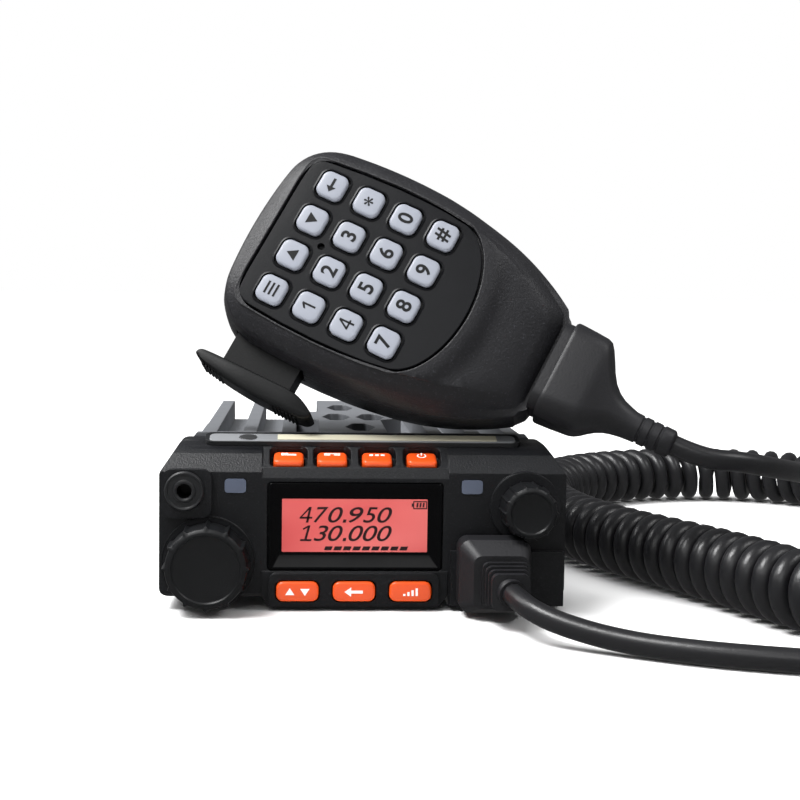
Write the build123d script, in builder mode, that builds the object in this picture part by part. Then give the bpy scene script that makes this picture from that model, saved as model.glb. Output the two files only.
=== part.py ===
from build123d import *
import math
import os

# A compact mobile radio transceiver with its keypad hand microphone and curly microphone cord.
# Millimetres. +X is to the right of a user facing the front panel, +Y runs back, +Z is up.
# The origin is the centre of the flat underside of the radio. The microphone stands on its
# left long side on top of the radio, leaning back, with its cord on the table to the right.

# ---- driving dimensions: radio --------------------------------------------------------------
PANEL_W = 98.0  # across the plastic front panel
BODY_W = 94.0  # across the die-cast body
FACE_Y = -58.0  # flat front face of the panel
JOIN_Y = -42.0  # where the panel meets the die-cast body
REAR_Y = 58.0  # rear face of the body
REAR_WALL = 4.0
SIDE_WALL = 3.0
COVER_T = 2.0  # bottom cover
DECK_Z = 35.0  # floor of the channels between the fins
DECK_T = 4.0
FIN_TOP = 41.2
FIN_T = 3.5
FIN_X = (18.4, 28.2, 38.1)  # fin centres, each side of the middle
PANEL_TOP = 40.1
SHOULDER_Z = 33.3  # where the face turns into the top slope
SKIN = 2.4  # wall of the front panel

CENTRE_X = (-24.6, 20.4)  # edges of the display section of the panel
CENTRE_MID = sum(CENTRE_X) / 2
CENTRE_SLOPE = ((-50.8, 38.9), (-57.0, 34.3), (-58.2, 31.4))  # (y, z) of the slope with the top keys
LENS_W = 42.0
LENS_H = 21.2
LENS_Z = 20.2
LENS_T = 1.2
LCD_X = -2.2  # middle of the display glass
LCD_Z = 20.35
LCD_W = 35.6
LCD_H = 13.4

TOP_KEY_X = (-18.3, -7.8, 3.1, 14.0)
TOP_KEY = (7.3, 5.7)
TOP_KEY_LEAN = math.radians(19.4)  # their tops lean less than the slope they stand in
FRONT_KEY_X = (-15.9, -2.3, 11.3)
FRONT_KEY_Z = 4.7
FRONT_KEY = (10.2, 4.8)
KEY_GAP = 0.25  # clearance around every key
KEY_TRAVEL = 0.8

LED_X = (-30.9, 26.0)
LED_Z = 30.0
LED_SIZE = (5.2, 3.5)
JACK_X = -42.9
JACK_Z = 28.9
JACK_BORE_R = 1.75
CHANNEL_X = -37.3
CHANNEL_Z = 11.5
CHANNEL_R = 10.0
VOLUME_X = 38.95
VOLUME_Z = 25.2
VOLUME_R = 6.5
SHAFT_R = 3.0
RUNNING = 0.05  # radial clearance of a knob's shaft in its bushing
SOCKET_X = 30.8
SOCKET_Z = 9.8
PLUG = (11.6, 6.6)  # eight-way modular plug

REAR_ROW_Z = 17.0
ANTENNA_X = -20.0
ANTENNA_R = 7.94  # 5/8 inch coupling thread
FAN_X = 18.0
FAN_SIZE = 25.0
FAN_HOLE_R = 11.0
REAR_JACK_X = 40.0
REAR_JACK_Z = 24.0
GLAND_X = 40.0
GLAND_Z = 10.5
GLAND_BORE_R = 2.2
BRACKET_Y = (-8.0, 22.0)
BRACKET_Z = 17.0
BRACKET_HOLE_R = 1.65  # tapped M4
POSTS = ((-39.0, -34.0), (39.0, -34.0), (-39.0, 39.0), (39.0, 39.0))

# ---- driving dimensions: microphone ---------------------------------------------------------
# Its own axes: u from its top to its cord end, v across to its right side, n out of its face.
MIC_ORIGIN = Vector(-1.75, -41.8, 83.6)  # middle of the key grid, on the face
MIC_TURN = math.radians(8.4)
MIC_LEAN = math.radians(22.6)
MIC_ROLL = math.radians(25.2)
KEY_PITCH = 10.5
PAD_KEY = 7.1
PAD_KEY_R = 1.7
MIC_TOP_U = -29.8
MIC_END_U = 51.5
MIC_WIDEST = (-2.0, 27.6)  # where the bowed sides are widest, and half that width
MIC_TOP_R = 120.0
MIC_SIDE_R = (140.0, 70.0)  # bow of the upper part of a side, then of its lower part
MIC_SIDE_TURN_U = 22.0
MIC_CORNER_R = 8.0
MIC_BEVEL = (5.0, 2.6)  # width and depth of the sloping border of the face
MIC_FLARE = 1.2  # how much wider the case is where its shells meet
MIC_FACE_DROP = ((20.0, 0.0), (36.0, -1.7), (54.0, -6.9))  # (u, n) of the face towards the cord
PART_N = -10.0  # where the two shells meet
BACK_N = -27.0
MIC_WALL = 2.2
NECK_END_U = 88.0
NECK_V = -4.2
NECK_N = -12.5
NECK_R = 3.6
BOOT_SECTIONS = (  # u, v of the centre, width, thickness, corner radius
    (55.0, 0.0, 26.6, 15.6, 5.5), (64.5, 0.0, 25.6, 14.8, 5.5), (66.8, -1.3, 21.4, 13.2, 5.5),
    (69.0, -2.7, 14.8, 11.4, 5.0), (71.6, -3.5, 10.6, 9.8, 4.6), (75.0, -4.0, 8.0, 8.0, 3.9),
    (78.0, -4.2, 7.2, 7.2, 3.55),
)
PTT_U = (-27.5, 6.5)
PTT_V = (-40.4, -34.8)
PTT_N = (-15.5, -7.0)
PTT_STEM_U = (-20.5, -1.5)
PTT_STEM_N = (-14.0, -8.0)
PTT_TRAVEL = 2.0

# ---- driving dimensions: cord ---------------------------------------------------------------
WIRE_D = 5.2
CURL_D = 19.0


def facing(y):
    """A plane that faces the user at that depth, with x to the right and y up."""
    return Plane.XZ.offset(-y)


os.makedirs("parts", exist_ok=True)


def save(piece, name):
    piece.part.label = name
    export_step(piece.part, f"parts/{name}.step")


# ---- die-cast body --------------------------------------------------------------------------
BODY_L = REAR_Y - JOIN_Y
BODY_MID_Y = (REAR_Y + JOIN_Y) / 2
CAVITY_TOP = DECK_Z - DECK_T
GRILLE_X = -2.1
VENTS = ((0.1, -26.5), (-5.6, 1.5), (3.9, 1.5), (-3.8, 31.0))
VENT_HALF = (4.0, 9.6)


def vent_shape():
    half_w, half_l = VENT_HALF
    with BuildSketch(mode=Mode.PRIVATE) as vent:
        with BuildLine():
            Polyline(
                (half_w, 0), (half_w * 0.45, half_l), (-half_w * 0.45, half_l),
                (-half_w, 0), (-half_w * 0.45, -half_l), (half_w * 0.45, -half_l),
                close=True,
            )
        make_face()
        fillet(vent.vertices(), 1.2)
    return vent.sketch


with BuildPart() as chassis:
    with BuildSketch(facing(JOIN_Y)) as section:
        with Locations((0, COVER_T)):
            Rectangle(BODY_W, DECK_Z - COVER_T, align=(Align.CENTER, Align.MIN))
        fillet(section.vertices().group_by(Axis.Y)[-1], 6.0)
    extrude(amount=-BODY_L)
    with Locations((0, JOIN_Y, COVER_T)):
        Box(
            BODY_W - 2 * SIDE_WALL,
            BODY_L - REAR_WALL,
            CAVITY_TOP - COVER_T,
            align=(Align.CENTER, Align.MIN, Align.MIN),
            mode=Mode.SUBTRACT,
        )
    # cooling fins, rounded at their rear ends
    for fin_x in FIN_X:
        for side in (-1, 1):
            with BuildSketch(Plane.YZ.offset(side * fin_x - FIN_T / 2)) as fin:
                with Locations((JOIN_Y, DECK_Z - 1)):
                    Rectangle(BODY_L - 1, FIN_TOP - DECK_Z + 1, align=(Align.MIN, Align.MIN))
                fillet(fin.vertices().group_by(Axis.X)[-1].sort_by(Axis.Y)[-1], 4.0)
            extrude(amount=FIN_T)
    # low front flange behind the plastic panel
    with BuildSketch(facing(JOIN_Y)):
        with BuildLine():
            Polyline(
                (-45.2, 30), (-45.2, 36.2), (-41.2, FIN_TOP - 0.1), (41.2, FIN_TOP - 0.1),
                (45.2, 36.2), (45.2, 30), close=True,
            )
        make_face()
    extrude(amount=-2.6)
    with Locations((0, JOIN_Y, COVER_T)):
        Box(
            BODY_W - 2 * SIDE_WALL, BODY_L - REAR_WALL, CAVITY_TOP - COVER_T,
            align=(Align.CENTER, Align.MIN, Align.MIN), mode=Mode.SUBTRACT,
        )
    # raised pad over the speaker, pierced by its vents
    with BuildSketch(Plane.XY.offset(DECK_Z - 1)) as pad:
        with Locations((GRILLE_X, BODY_MID_Y)):
            Rectangle(17.0, BODY_L - 3)
        with Locations((GRILLE_X, 6.0)):
            Circle(15.0)
    extrude(amount=FIN_TOP - DECK_Z + 1)
    with BuildSketch(Plane.XY.offset(CAVITY_TOP - 1)):
        with Locations(*VENTS):
            add(vent_shape())
    extrude(amount=FIN_TOP - CAVITY_TOP + 2, mode=Mode.SUBTRACT)
    # posts for the cover screws
    with BuildSketch(Plane.XY.offset(COVER_T)):
        with Locations(*POSTS):
            Circle(3.5)
    extrude(amount=CAVITY_TOP - COVER_T)
    with BuildSketch(Plane.XY.offset(COVER_T)):
        with Locations(*POSTS):
            Circle(1.3)
    extrude(amount=9.0, mode=Mode.SUBTRACT)
    # bosses and tapped holes for the mounting bracket
    for side in (-1, 1):
        wall_x = side * BODY_W / 2
        outward = Plane(origin=(wall_x, 0, 0), x_dir=(0, 1, 0), z_dir=(side, 0, 0))
        with BuildSketch(outward.offset(-1.5)):
            with Locations(*[(y, side * BRACKET_Z) for y in BRACKET_Y]):
                Circle(4.2)
        extrude(amount=-6.5)
        with BuildSketch(outward):
            with Locations(*[(y, side * BRACKET_Z) for y in BRACKET_Y]):
                Circle(BRACKET_HOLE_R)
        extrude(amount=-6.5, mode=Mode.SUBTRACT)
    # rear wall: antenna socket, fan guard, speaker jack and power lead holes
    with BuildSketch(facing(REAR_Y + 1)):
        with Locations((ANTENNA_X, REAR_ROW_Z)):
            Circle(6.2)
        with Locations((REAR_JACK_X, REAR_JACK_Z)):
            Circle(3.1)
        with Locations((GLAND_X, GLAND_Z)):
            Circle(4.1)
    extrude(amount=REAR_WALL + 2, mode=Mode.SUBTRACT)
    with BuildSketch(facing(REAR_Y + 1)):
        with Locations((FAN_X, REAR_ROW_Z)):
            Circle(FAN_HOLE_R)
            with GridLocations(4.4, 0, 5, 1):
                Rectangle(1.6, 3 * FAN_HOLE_R, mode=Mode.SUBTRACT)
    extrude(amount=REAR_WALL + 2, mode=Mode.SUBTRACT)
save(chassis, "chassis")

with BuildPart() as bottom_cover:
    with BuildSketch():
        with Locations((0, BODY_MID_Y)):
            RectangleRounded(BODY_W, BODY_L, 1.5)
    extrude(amount=COVER_T)
    with Locations(*[Location((x, y, 0), (180, 0, 0)) for x, y in POSTS]):
        CounterSinkHole(1.6, 2.9)
save(bottom_cover, "bottom_cover")

# ---- front panel ----------------------------------------------------------------------------
KEY_SLOPE = Plane(
    origin=(0, -53.9, 36.65), x_dir=(1, 0, 0), z_dir=(0, -math.sin(TOP_KEY_LEAN), math.cos(TOP_KEY_LEAN))
)
HALF_W = PANEL_W / 2

TRIM_SEAT = Plane(origin=(0, -47.34, 38.99), x_dir=(1, 0, 0), z_dir=(0, -0.217, 0.976))
TRIM = (75.4, 5.5, 1.65)
TRIM_SCREW_X = -28.2

with BuildPart() as panel_inside:
    with BuildSketch(Plane.YZ.offset(-HALF_W)):
        with BuildLine():
            Polyline(
                (JOIN_Y, 5.2), (FACE_Y + SKIN, 5.2), (FACE_Y + SKIN, 31.4), (-50.2, 33.8),
                (-47.5, 36.8), (JOIN_Y, 37.2), close=True,
            )
        make_face()
    extrude(amount=PANEL_W)
    with BuildSketch(facing(JOIN_Y)):
        with BuildLine():
            Polyline(
                (-46.6, 0), (46.6, 0), (46.6, 32.6), (42.6, 39), (-42.6, 39), (-46.6, 32.6),
                close=True,
            )
        make_face()
    extrude(amount=20.0, mode=Mode.INTERSECT)

with BuildPart() as front_panel:
    with BuildSketch(Plane.YZ.offset(-HALF_W)):
        with BuildLine():
            Polyline(
                (JOIN_Y, PANEL_TOP), (JOIN_Y, 3), (FACE_Y + 1, 3), (FACE_Y, 4),
                (FACE_Y, SHOULDER_Z), (-54, 37.3),
            )
            ThreePointArc((-54, 37.3), (-49, 39.4), (JOIN_Y, PANEL_TOP))
        make_face()
    extrude(amount=PANEL_W)
    with BuildSketch(facing(JOIN_Y)) as outline:
        with BuildLine():
            Polyline(
                (-HALF_W, 3), (HALF_W, 3), (HALF_W, 33), (44.3, PANEL_TOP), (-44.3, PANEL_TOP),
                (-HALF_W, 33), close=True,
            )
        make_face()
        fillet(outline.vertices(), 2.2)
    extrude(amount=20.0, mode=Mode.INTERSECT)
    # deeper slope over the display section
    with BuildSketch(Plane.YZ.offset(CENTRE_X[0])):
        with BuildLine():
            Polyline(
                *CENTRE_SLOPE, (-62, CENTRE_SLOPE[-1][1]), (-62, 44), (CENTRE_SLOPE[0][0], 44), close=True
            )
        make_face()
    extrude(amount=CENTRE_X[1] - CENTRE_X[0], mode=Mode.SUBTRACT)
    # lower block that carries the front keys, with its raised frame
    with BuildSketch(facing(JOIN_Y - 4)) as block:
        with Locations((CENTRE_MID, 0.3)):
            Rectangle(CENTRE_X[1] - CENTRE_X[0], 9.0, align=(Align.CENTER, Align.MIN))
        fillet(block.vertices().group_by(Axis.Y)[0], 4.5)
    extrude(amount=JOIN_Y - 4 - FACE_Y + 0.3)
    with BuildSketch(facing(FACE_Y)) as frame:
        for key_x in FRONT_KEY_X:
            with Locations((key_x, 1.0)):
                Rectangle(14.0, 8.0, align=(Align.CENTER, Align.MIN))
        fillet(frame.vertices().group_by(Axis.Y)[-1], 2.0)
    extrude(amount=1.2)
    # block around the microphone socket, and the bosses behind the jack and the two knobs
    with BuildSketch(facing(FACE_Y)):
        with Locations(((CENTRE_X[1] + 0.6 + 48.6) / 2, 1.1)):
            Rectangle(48.6 - CENTRE_X[1] - 0.6, 13.4, align=(Align.CENTER, Align.MIN))
        with Locations(((-48.2 - 36.4) / 2, 28.2)):
            RectangleRounded(11.8, 11.8, 2.4)
    extrude(amount=1.5)
    with BuildSketch(facing(JOIN_Y - 4)):
        with Locations((34.5, 1.1)):
            Rectangle(28.0, 4.0, align=(Align.CENTER, Align.MIN))
    extrude(amount=JOIN_Y - 4 - FACE_Y)
    with BuildSketch(facing(FACE_Y + SKIN)):
        with Locations((CHANNEL_X, CHANNEL_Z)):
            Circle(CHANNEL_R + 1.2)
    extrude(amount=SKIN + 0.7)
    with BuildSketch(facing(FACE_Y + SKIN)):
        with Locations((VOLUME_X, VOLUME_Z)):
            Circle(VOLUME_R + 2.1)
    extrude(amount=SKIN + 1.4)
    add(panel_inside.part, mode=Mode.SUBTRACT)
    # hollow behind the front keys
    with Locations((CENTRE_MID, JOIN_Y, 1.8)):
        Box(
            CENTRE_X[1] - CENTRE_X[0] - 4.0, JOIN_Y - FACE_Y - SKIN, 8.0,
            align=(Align.CENTER, Align.MAX, Align.MIN), mode=Mode.SUBTRACT,
        )
    # display pocket and window
    with BuildSketch(facing(FACE_Y)):
        with Locations((CENTRE_MID, LENS_Z)):
            RectangleRounded(LENS_W + 0.4, LENS_H + 0.4, 1.0)
    extrude(amount=-LENS_T, mode=Mode.SUBTRACT)
    with BuildSketch(facing(FACE_Y)):
        with Locations((LCD_X, LCD_Z)):
            RectangleRounded(LCD_W + 2, LCD_H + 2, 0.8)
        with Locations(*[(x, LED_Z) for x in LED_X]):
            RectangleRounded(*LED_SIZE, 0.9)
    extrude(amount=-2 * SKIN, mode=Mode.SUBTRACT)
    # key holes
    with BuildSketch(facing(FACE_Y - 2)):
        with Locations(*[(x, FRONT_KEY_Z) for x in FRONT_KEY_X]):
            RectangleRounded(FRONT_KEY[0] + 2 * KEY_GAP, FRONT_KEY[1] + 2 * KEY_GAP, 1.7)
    extrude(amount=-8.0, mode=Mode.SUBTRACT)
    with BuildSketch(KEY_SLOPE):
        with Locations(*[(x, 0) for x in TOP_KEY_X]):
            RectangleRounded(TOP_KEY[0] + 1.9, TOP_KEY[1] + 1.2, 1.6)
    extrude(amount=-1.9, mode=Mode.SUBTRACT)
    with BuildSketch(KEY_SLOPE.offset(4.0)):
        with Locations(*[(x, 0) for x in TOP_KEY_X]):
            RectangleRounded(TOP_KEY[0] + 1.9, TOP_KEY[1] + 1.2, 1.6)
    extrude(amount=-4.5, mode=Mode.SUBTRACT)
    with BuildSketch(KEY_SLOPE):
        with Locations(*[(x, 0) for x in TOP_KEY_X]):
            RectangleRounded(TOP_KEY[0] + 2 * KEY_GAP, TOP_KEY[1] + 2 * KEY_GAP, 1.4)
    extrude(amount=-8.0, mode=Mode.SUBTRACT)
    # jack, shafts and microphone socket
    with BuildSketch(facing(FACE_Y - 3)):
        with Locations((JACK_X, JACK_Z)):
            Circle(3.5)
        with Locations((CHANNEL_X, CHANNEL_Z), (VOLUME_X, VOLUME_Z)):
            Circle(4.3)
        with Locations((SOCKET_X, SOCKET_Z)):
            Rectangle(13.4, 8.4)
    extrude(amount=-8.0, mode=Mode.SUBTRACT)
    # shallow seat for the trim plate on the top slope
    with BuildSketch(TRIM_SEAT):
        RectangleRounded(TRIM[0] + 1.8, TRIM[1] + 1.5, 1.8)
    extrude(amount=2.6, mode=Mode.SUBTRACT)
save(front_panel, "front_panel")

with BuildPart() as trim_plate:
    with BuildSketch(TRIM_SEAT):
        RectangleRounded(TRIM[0] - 1.6, TRIM[1] - 1.2, 1.2)
    extrude(amount=TRIM[2] - 0.5)
    with BuildSketch(TRIM_SEAT.offset(TRIM[2] - 0.6)):
        RectangleRounded(TRIM[0], TRIM[1], 1.6)
    extrude(amount=0.6)
    fillet(trim_plate.faces().sort_by(Axis(TRIM_SEAT.origin, TRIM_SEAT.z_dir))[-1].edges(), 0.25)
    with BuildSketch(TRIM_SEAT.offset(TRIM[2])):
        with Locations((TRIM_SCREW_X, 0)):
            Circle(2.3)
    extrude(amount=-0.35, mode=Mode.SUBTRACT)
save(trim_plate, "trim_plate")

# ---- display and indicators -----------------------------------------------------------------
with BuildPart() as lcd_window:
    with BuildSketch(facing(FACE_Y + LENS_T)):
        with Locations((CENTRE_MID, LENS_Z)):
            RectangleRounded(LENS_W, LENS_H, 0.9)
    extrude(amount=LENS_T - 0.1)
save(lcd_window, "lcd_window")

with BuildPart() as lcd_module:
    with Locations((LCD_X, FACE_Y + SKIN + 0.1, LCD_Z)):
        Box(LCD_W + 4, 3.2, LCD_H + 2.6, align=(Align.CENTER, Align.MIN, Align.CENTER))
save(lcd_module, "lcd_module")

with BuildPart() as led_lenses:
    with BuildSketch(facing(FACE_Y + 4.0)):
        with Locations(*[(x, LED_Z) for x in LED_X]):
            RectangleRounded(LED_SIZE[0] - 0.1, LED_SIZE[1] - 0.1, 0.85)
    extrude(amount=4.3)
save(led_lenses, "led_lenses")

# ---- keys of the radio ----------------------------------------------------------------------
SLOPE_OUT = Axis(KEY_SLOPE.origin, KEY_SLOPE.z_dir)
for number, key_x in enumerate(TOP_KEY_X, 1):
    with BuildPart() as top_key:
        with BuildSketch(KEY_SLOPE.offset(-5.4)):
            with Locations((key_x, 0)):
                RectangleRounded(*TOP_KEY, 1.3)
        extrude(amount=5.4)
        fillet(top_key.faces().sort_by(SLOPE_OUT)[-1].edges(), 0.7)
        with BuildSketch(KEY_SLOPE.offset(-5.4)):
            with Locations((key_x, 0)):
                Rectangle(TOP_KEY[0] + 1.4, TOP_KEY[1] + 0.6)
        extrude(amount=0.8)
    save(top_key, f"top_key_{number}")

for number, key_x in enumerate(FRONT_KEY_X, 1):
    with BuildPart() as front_key:
        with BuildSketch(facing(FACE_Y + 4.0)):
            with Locations((key_x, FRONT_KEY_Z)):
                RectangleRounded(*FRONT_KEY, 1.5)
        extrude(amount=6.1)
        fillet(front_key.faces().sort_by(Axis.Y)[0].edges(), 0.6)
        with BuildSketch(facing(FACE_Y + 4.0)):
            with Locations((key_x, FRONT_KEY_Z + 0.4)):
                Rectangle(FRONT_KEY[0] + 1.4, FRONT_KEY[1] - 0.4)
        extrude(amount=1.0)
    save(front_key, f"front_key_{number}")

with BuildPart() as button_membrane:
    with Locations((FRONT_KEY_X[1], FACE_Y + 5.0, FRONT_KEY_Z + 0.3)):
        Box(40.0, 1.2, 5.0, align=(Align.CENTER, Align.MIN, Align.CENTER))
    with BuildSketch(KEY_SLOPE.offset(-7.6)):
        with Locations((sum(TOP_KEY_X) / 4, 0)):
            Rectangle(40.5, 4.4)
    extrude(amount=1.2)
save(button_membrane, "button_membrane")

# ---- knobs and controls ---------------------------------------------------------------------
CHANNEL_KNOB_Y = (FACE_Y - 0.9, FACE_Y - 9.6)
VOLUME_KNOB_Y = (FACE_Y - 1.6, FACE_Y - 10.8)
RIDGES = 12


def make_knob(x, z, radius, back_y, front_y, shaft_depth):
    with BuildPart() as knob:
        with BuildSketch(facing(back_y)):
            with Locations((x, z)):
                Circle(radius - 0.1)
                with PolarLocations(radius - 0.25, RIDGES):
                    Circle(0.6)
        extrude(amount=back_y - front_y)
        with BuildSketch(facing(front_y + 0.8)):
            with Locations((x, z)):
                Circle(radius + 2)
                Circle(radius - 1.6, mode=Mode.SUBTRACT)
        extrude(amount=2.0, mode=Mode.SUBTRACT)
        with BuildSketch(facing(back_y)):
            with Locations((x, z)):
                Circle(SHAFT_R)
        extrude(amount=shaft_depth, mode=Mode.SUBTRACT)
    return knob


def make_shaft(x, z, back_y, front_y):
    with BuildPart() as shaft:
        with BuildSketch(facing(back_y)):
            with Locations((x, z)):
                Circle(SHAFT_R)
        extrude(amount=back_y - front_y)
    return shaft


def make_control(x, z, front_y):
    """The body of a rotary control behind the panel, with the bushing that its shaft turns in."""
    with BuildPart() as control:
        with BuildSketch(facing(FACE_Y + 6.6)):
            with Locations((x, z)):
                RectangleRounded(11.4, 11.4, 1.0)
        extrude(amount=3.4)
        with BuildSketch(facing(FACE_Y + 3.4)):
            with Locations((x, z)):
                Circle(4.1)
        extrude(amount=FACE_Y + 3.4 - front_y)
        with BuildSketch(facing(FACE_Y + 5.6)):
            with Locations((x, z)):
                Circle(SHAFT_R + RUNNING)
        extrude(amount=12.0, mode=Mode.SUBTRACT)
    return control


save(make_knob(CHANNEL_X, CHANNEL_Z, CHANNEL_R, *CHANNEL_KNOB_Y, 6.5), "channel_knob")
save(make_shaft(CHANNEL_X, CHANNEL_Z, FACE_Y + 5.4, CHANNEL_KNOB_Y[0] - 6.4), "channel_shaft")
save(make_control(CHANNEL_X, CHANNEL_Z, FACE_Y - 0.6), "channel_encoder")
save(make_knob(VOLUME_X, VOLUME_Z, VOLUME_R, *VOLUME_KNOB_Y, 6.5), "volume_knob")
save(make_shaft(VOLUME_X, VOLUME_Z, FACE_Y + 5.4, VOLUME_KNOB_Y[0] - 6.4), "volume_shaft")
save(make_control(VOLUME_X, VOLUME_Z, FACE_Y - 1.2), "volume_control")

# ---- sockets --------------------------------------------------------------------------------
with BuildPart() as audio_jacks:
    with BuildSketch(facing(FACE_Y + 7.0)):
        with Locations((JACK_X, JACK_Z)):
            Circle(3.4)
    extrude(amount=8.7)
    with BuildSketch(facing(FACE_Y - 1.6)):
        with Locations((JACK_X, JACK_Z)):
            Circle(4.7)
    extrude(amount=0.6)
    with BuildSketch(facing(REAR_Y - REAR_WALL - 6.0)):
        with Locations((REAR_JACK_X, REAR_JACK_Z)):
            Rectangle(8.0, 7.6)
    extrude(amount=-6.0)
    with BuildSketch(facing(REAR_Y + 1.6)):
        with Locations((REAR_JACK_X, REAR_JACK_Z)):
            Circle(3.0)
    extrude(amount=REAR_WALL + 2.0)
    with BuildSketch(facing(REAR_Y + 1.2)):
        with Locations((REAR_JACK_X, REAR_JACK_Z)):
            RegularPolygon(4.6, 6)
    extrude(amount=1.2)
    with BuildSketch(facing(FACE_Y + 6.0)):
        with Locations((JACK_X, JACK_Z)):
            Circle(JACK_BORE_R)
    extrude(amount=12.0, mode=Mode.SUBTRACT)
    with BuildSketch(facing(REAR_Y + 2.0)):
        with Locations((REAR_JACK_X, REAR_JACK_Z)):
            Circle(JACK_BORE_R)
    extrude(amount=11.0, mode=Mode.SUBTRACT)
save(audio_jacks, "audio_jacks")

with BuildPart() as mic_socket:
    with Locations((SOCKET_X, FACE_Y + 0.6, SOCKET_Z)):
        Box(13.2, 14.0, 8.2, align=(Align.CENTER, Align.MIN, Align.CENTER))
        Box(
            PLUG[0] + 0.4, 12.5, PLUG[1] + 0.4,
            align=(Align.CENTER, Align.MIN, Align.CENTER), mode=Mode.SUBTRACT,
        )
save(mic_socket, "mic_socket")

with BuildPart() as antenna_socket:
    with BuildSketch(facing(REAR_Y + 2.0)):
        with Locations((ANTENNA_X, REAR_ROW_Z)):
            RectangleRounded(24.0, 24.0, 2.0)
    extrude(amount=2.0)
    with BuildSketch(facing(REAR_Y + 14.0)):
        with Locations((ANTENNA_X, REAR_ROW_Z)):
            Circle(ANTENNA_R)
    extrude(amount=13.0)
    with BuildSketch(facing(REAR_Y + 14.0)):
        with Locations((ANTENNA_X, REAR_ROW_Z)):
            Circle(5.8)
            Circle(2.6, mode=Mode.SUBTRACT)
    extrude(amount=9.0, mode=Mode.SUBTRACT)
    with BuildSketch(facing(REAR_Y)):
        with Locations((ANTENNA_X, REAR_ROW_Z)):
            Circle(6.0)
    extrude(amount=REAR_WALL + 3)
    with BuildSketch(facing(REAR_Y + 14.0)):
        with Locations((ANTENNA_X, REAR_ROW_Z)):
            Circle(1.9)
    extrude(amount=10.0, mode=Mode.SUBTRACT)
save(antenna_socket, "antenna_socket")

with BuildPart() as power_lead_gland:
    with BuildSketch(facing(REAR_Y + 2.0)):
        with Locations((GLAND_X, GLAND_Z)):
            Circle(5.4)
    extrude(amount=2.0)
    with BuildSketch(facing(REAR_Y)):
        with Locations((GLAND_X, GLAND_Z)):
            Circle(4.0)
    extrude(amount=REAR_WALL + 1.5)
    with BuildSketch(facing(REAR_Y + 2.0)):
        with Locations((GLAND_X, GLAND_Z)):
            Circle(GLAND_BORE_R)
    extrude(amount=REAR_WALL + 4.0, mode=Mode.SUBTRACT)
save(power_lead_gland, "power_lead_gland")

# ---- inside the radio -----------------------------------------------------------------------
with BuildPart() as control_board:
    with Locations((0, FACE_Y + 7.2, 16.8)):
        Box(88.0, 1.6, 22.4, align=(Align.CENTER, Align.MIN, Align.CENTER))
    with Locations((SOCKET_X, FACE_Y + 7.2, SOCKET_Z)):
        Box(13.8, 5.0, 9.0, mode=Mode.SUBTRACT)
    with Locations((JACK_X, FACE_Y + 7.2, JACK_Z)):
        Box(8.6, 5.0, 8.6, mode=Mode.SUBTRACT)
save(control_board, "control_board")

with BuildPart() as main_board:
    with Locations((0, JOIN_Y + 2.0, 9.0)):
        Box(70.0, 84.0, 1.6, align=(Align.CENTER, Align.MIN, Align.MIN))
    with Locations((-24.0, 24.0, 10.6)):
        Box(16.0, 26.0, 5.0, align=(Align.CENTER, Align.CENTER, Align.MIN))
    with Locations((-24.0, -20.0, 10.6)):
        Box(18.0, 18.0, 3.0, align=(Align.CENTER, Align.CENTER, Align.MIN))
    with Locations((22.0, -12.0, 10.6)):
        Box(20.0, 28.0, 4.0, align=(Align.CENTER, Align.CENTER, Align.MIN))
    with Locations((22.0, 24.0, 10.6)):
        Box(24.0, 12.0, 20.4, align=(Align.CENTER, Align.CENTER, Align.MIN))
save(main_board, "main_board")

SPEAKER_Z = CAVITY_TOP - 0.1
with BuildPart() as speaker:
    with BuildSketch(Plane.XZ.offset(-6.0)):
        with BuildLine():
            Polyline(
                (GRILLE_X, SPEAKER_Z - 9), (GRILLE_X + 7.5, SPEAKER_Z - 9), (GRILLE_X + 7.5, SPEAKER_Z - 4),
                (GRILLE_X + 14, SPEAKER_Z - 1.5), (GRILLE_X + 14, SPEAKER_Z),
                (GRILLE_X + 12.5, SPEAKER_Z), (GRILLE_X + 4, SPEAKER_Z - 2.6), (GRILLE_X, SPEAKER_Z - 1.6),
                close=True,
            )
        make_face()
    revolve(axis=Axis((GRILLE_X, 6.0, 0), (0, 0, 1)))
save(speaker, "speaker")

FAN_Y = (REAR_Y - REAR_WALL - 8.0, REAR_Y - REAR_WALL - 0.1)
with BuildPart() as fan_frame:
    with BuildSketch(facing(FAN_Y[1])):
        with Locations((FAN_X, REAR_ROW_Z)):
            RectangleRounded(FAN_SIZE, FAN_SIZE, 2.0)
            Circle(FAN_HOLE_R + 0.4, mode=Mode.SUBTRACT)
    extrude(amount=FAN_Y[1] - FAN_Y[0])
    with BuildSketch(facing(FAN_Y[0] + 1.2)):
        with Locations((FAN_X, REAR_ROW_Z)):
            Circle(4.6)
            with PolarLocations(8.2, 3):
                Rectangle(8.4, 1.6)
    extrude(amount=1.2)
    with BuildSketch(facing(FAN_Y[0] + 4.5)):
        with Locations((FAN_X, REAR_ROW_Z)):
            Circle(1.0)
    extrude(amount=4.0)
save(fan_frame, "fan_frame")

with BuildPart() as fan_rotor:
    with BuildSketch(facing(FAN_Y[1] - 0.8)):
        with Locations((FAN_X, REAR_ROW_Z)):
            Circle(4.4)
    extrude(amount=5.4)
    for blade in range(7):
        with BuildSketch(facing(FAN_Y[1] - 1.2)):
            with Locations((FAN_X, REAR_ROW_Z)):
                with PolarLocations(7.0, 1, start_angle=blade * 360 / 7):
                    Rectangle(6.8, 1.4)
        extrude(amount=4.4)
    with BuildSketch(facing(FAN_Y[0])):
        with Locations((FAN_X, REAR_ROW_Z)):
            Circle(1.0 + RUNNING)
    extrude(amount=-5.0, mode=Mode.SUBTRACT)
save(fan_rotor, "fan_rotor")

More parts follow.
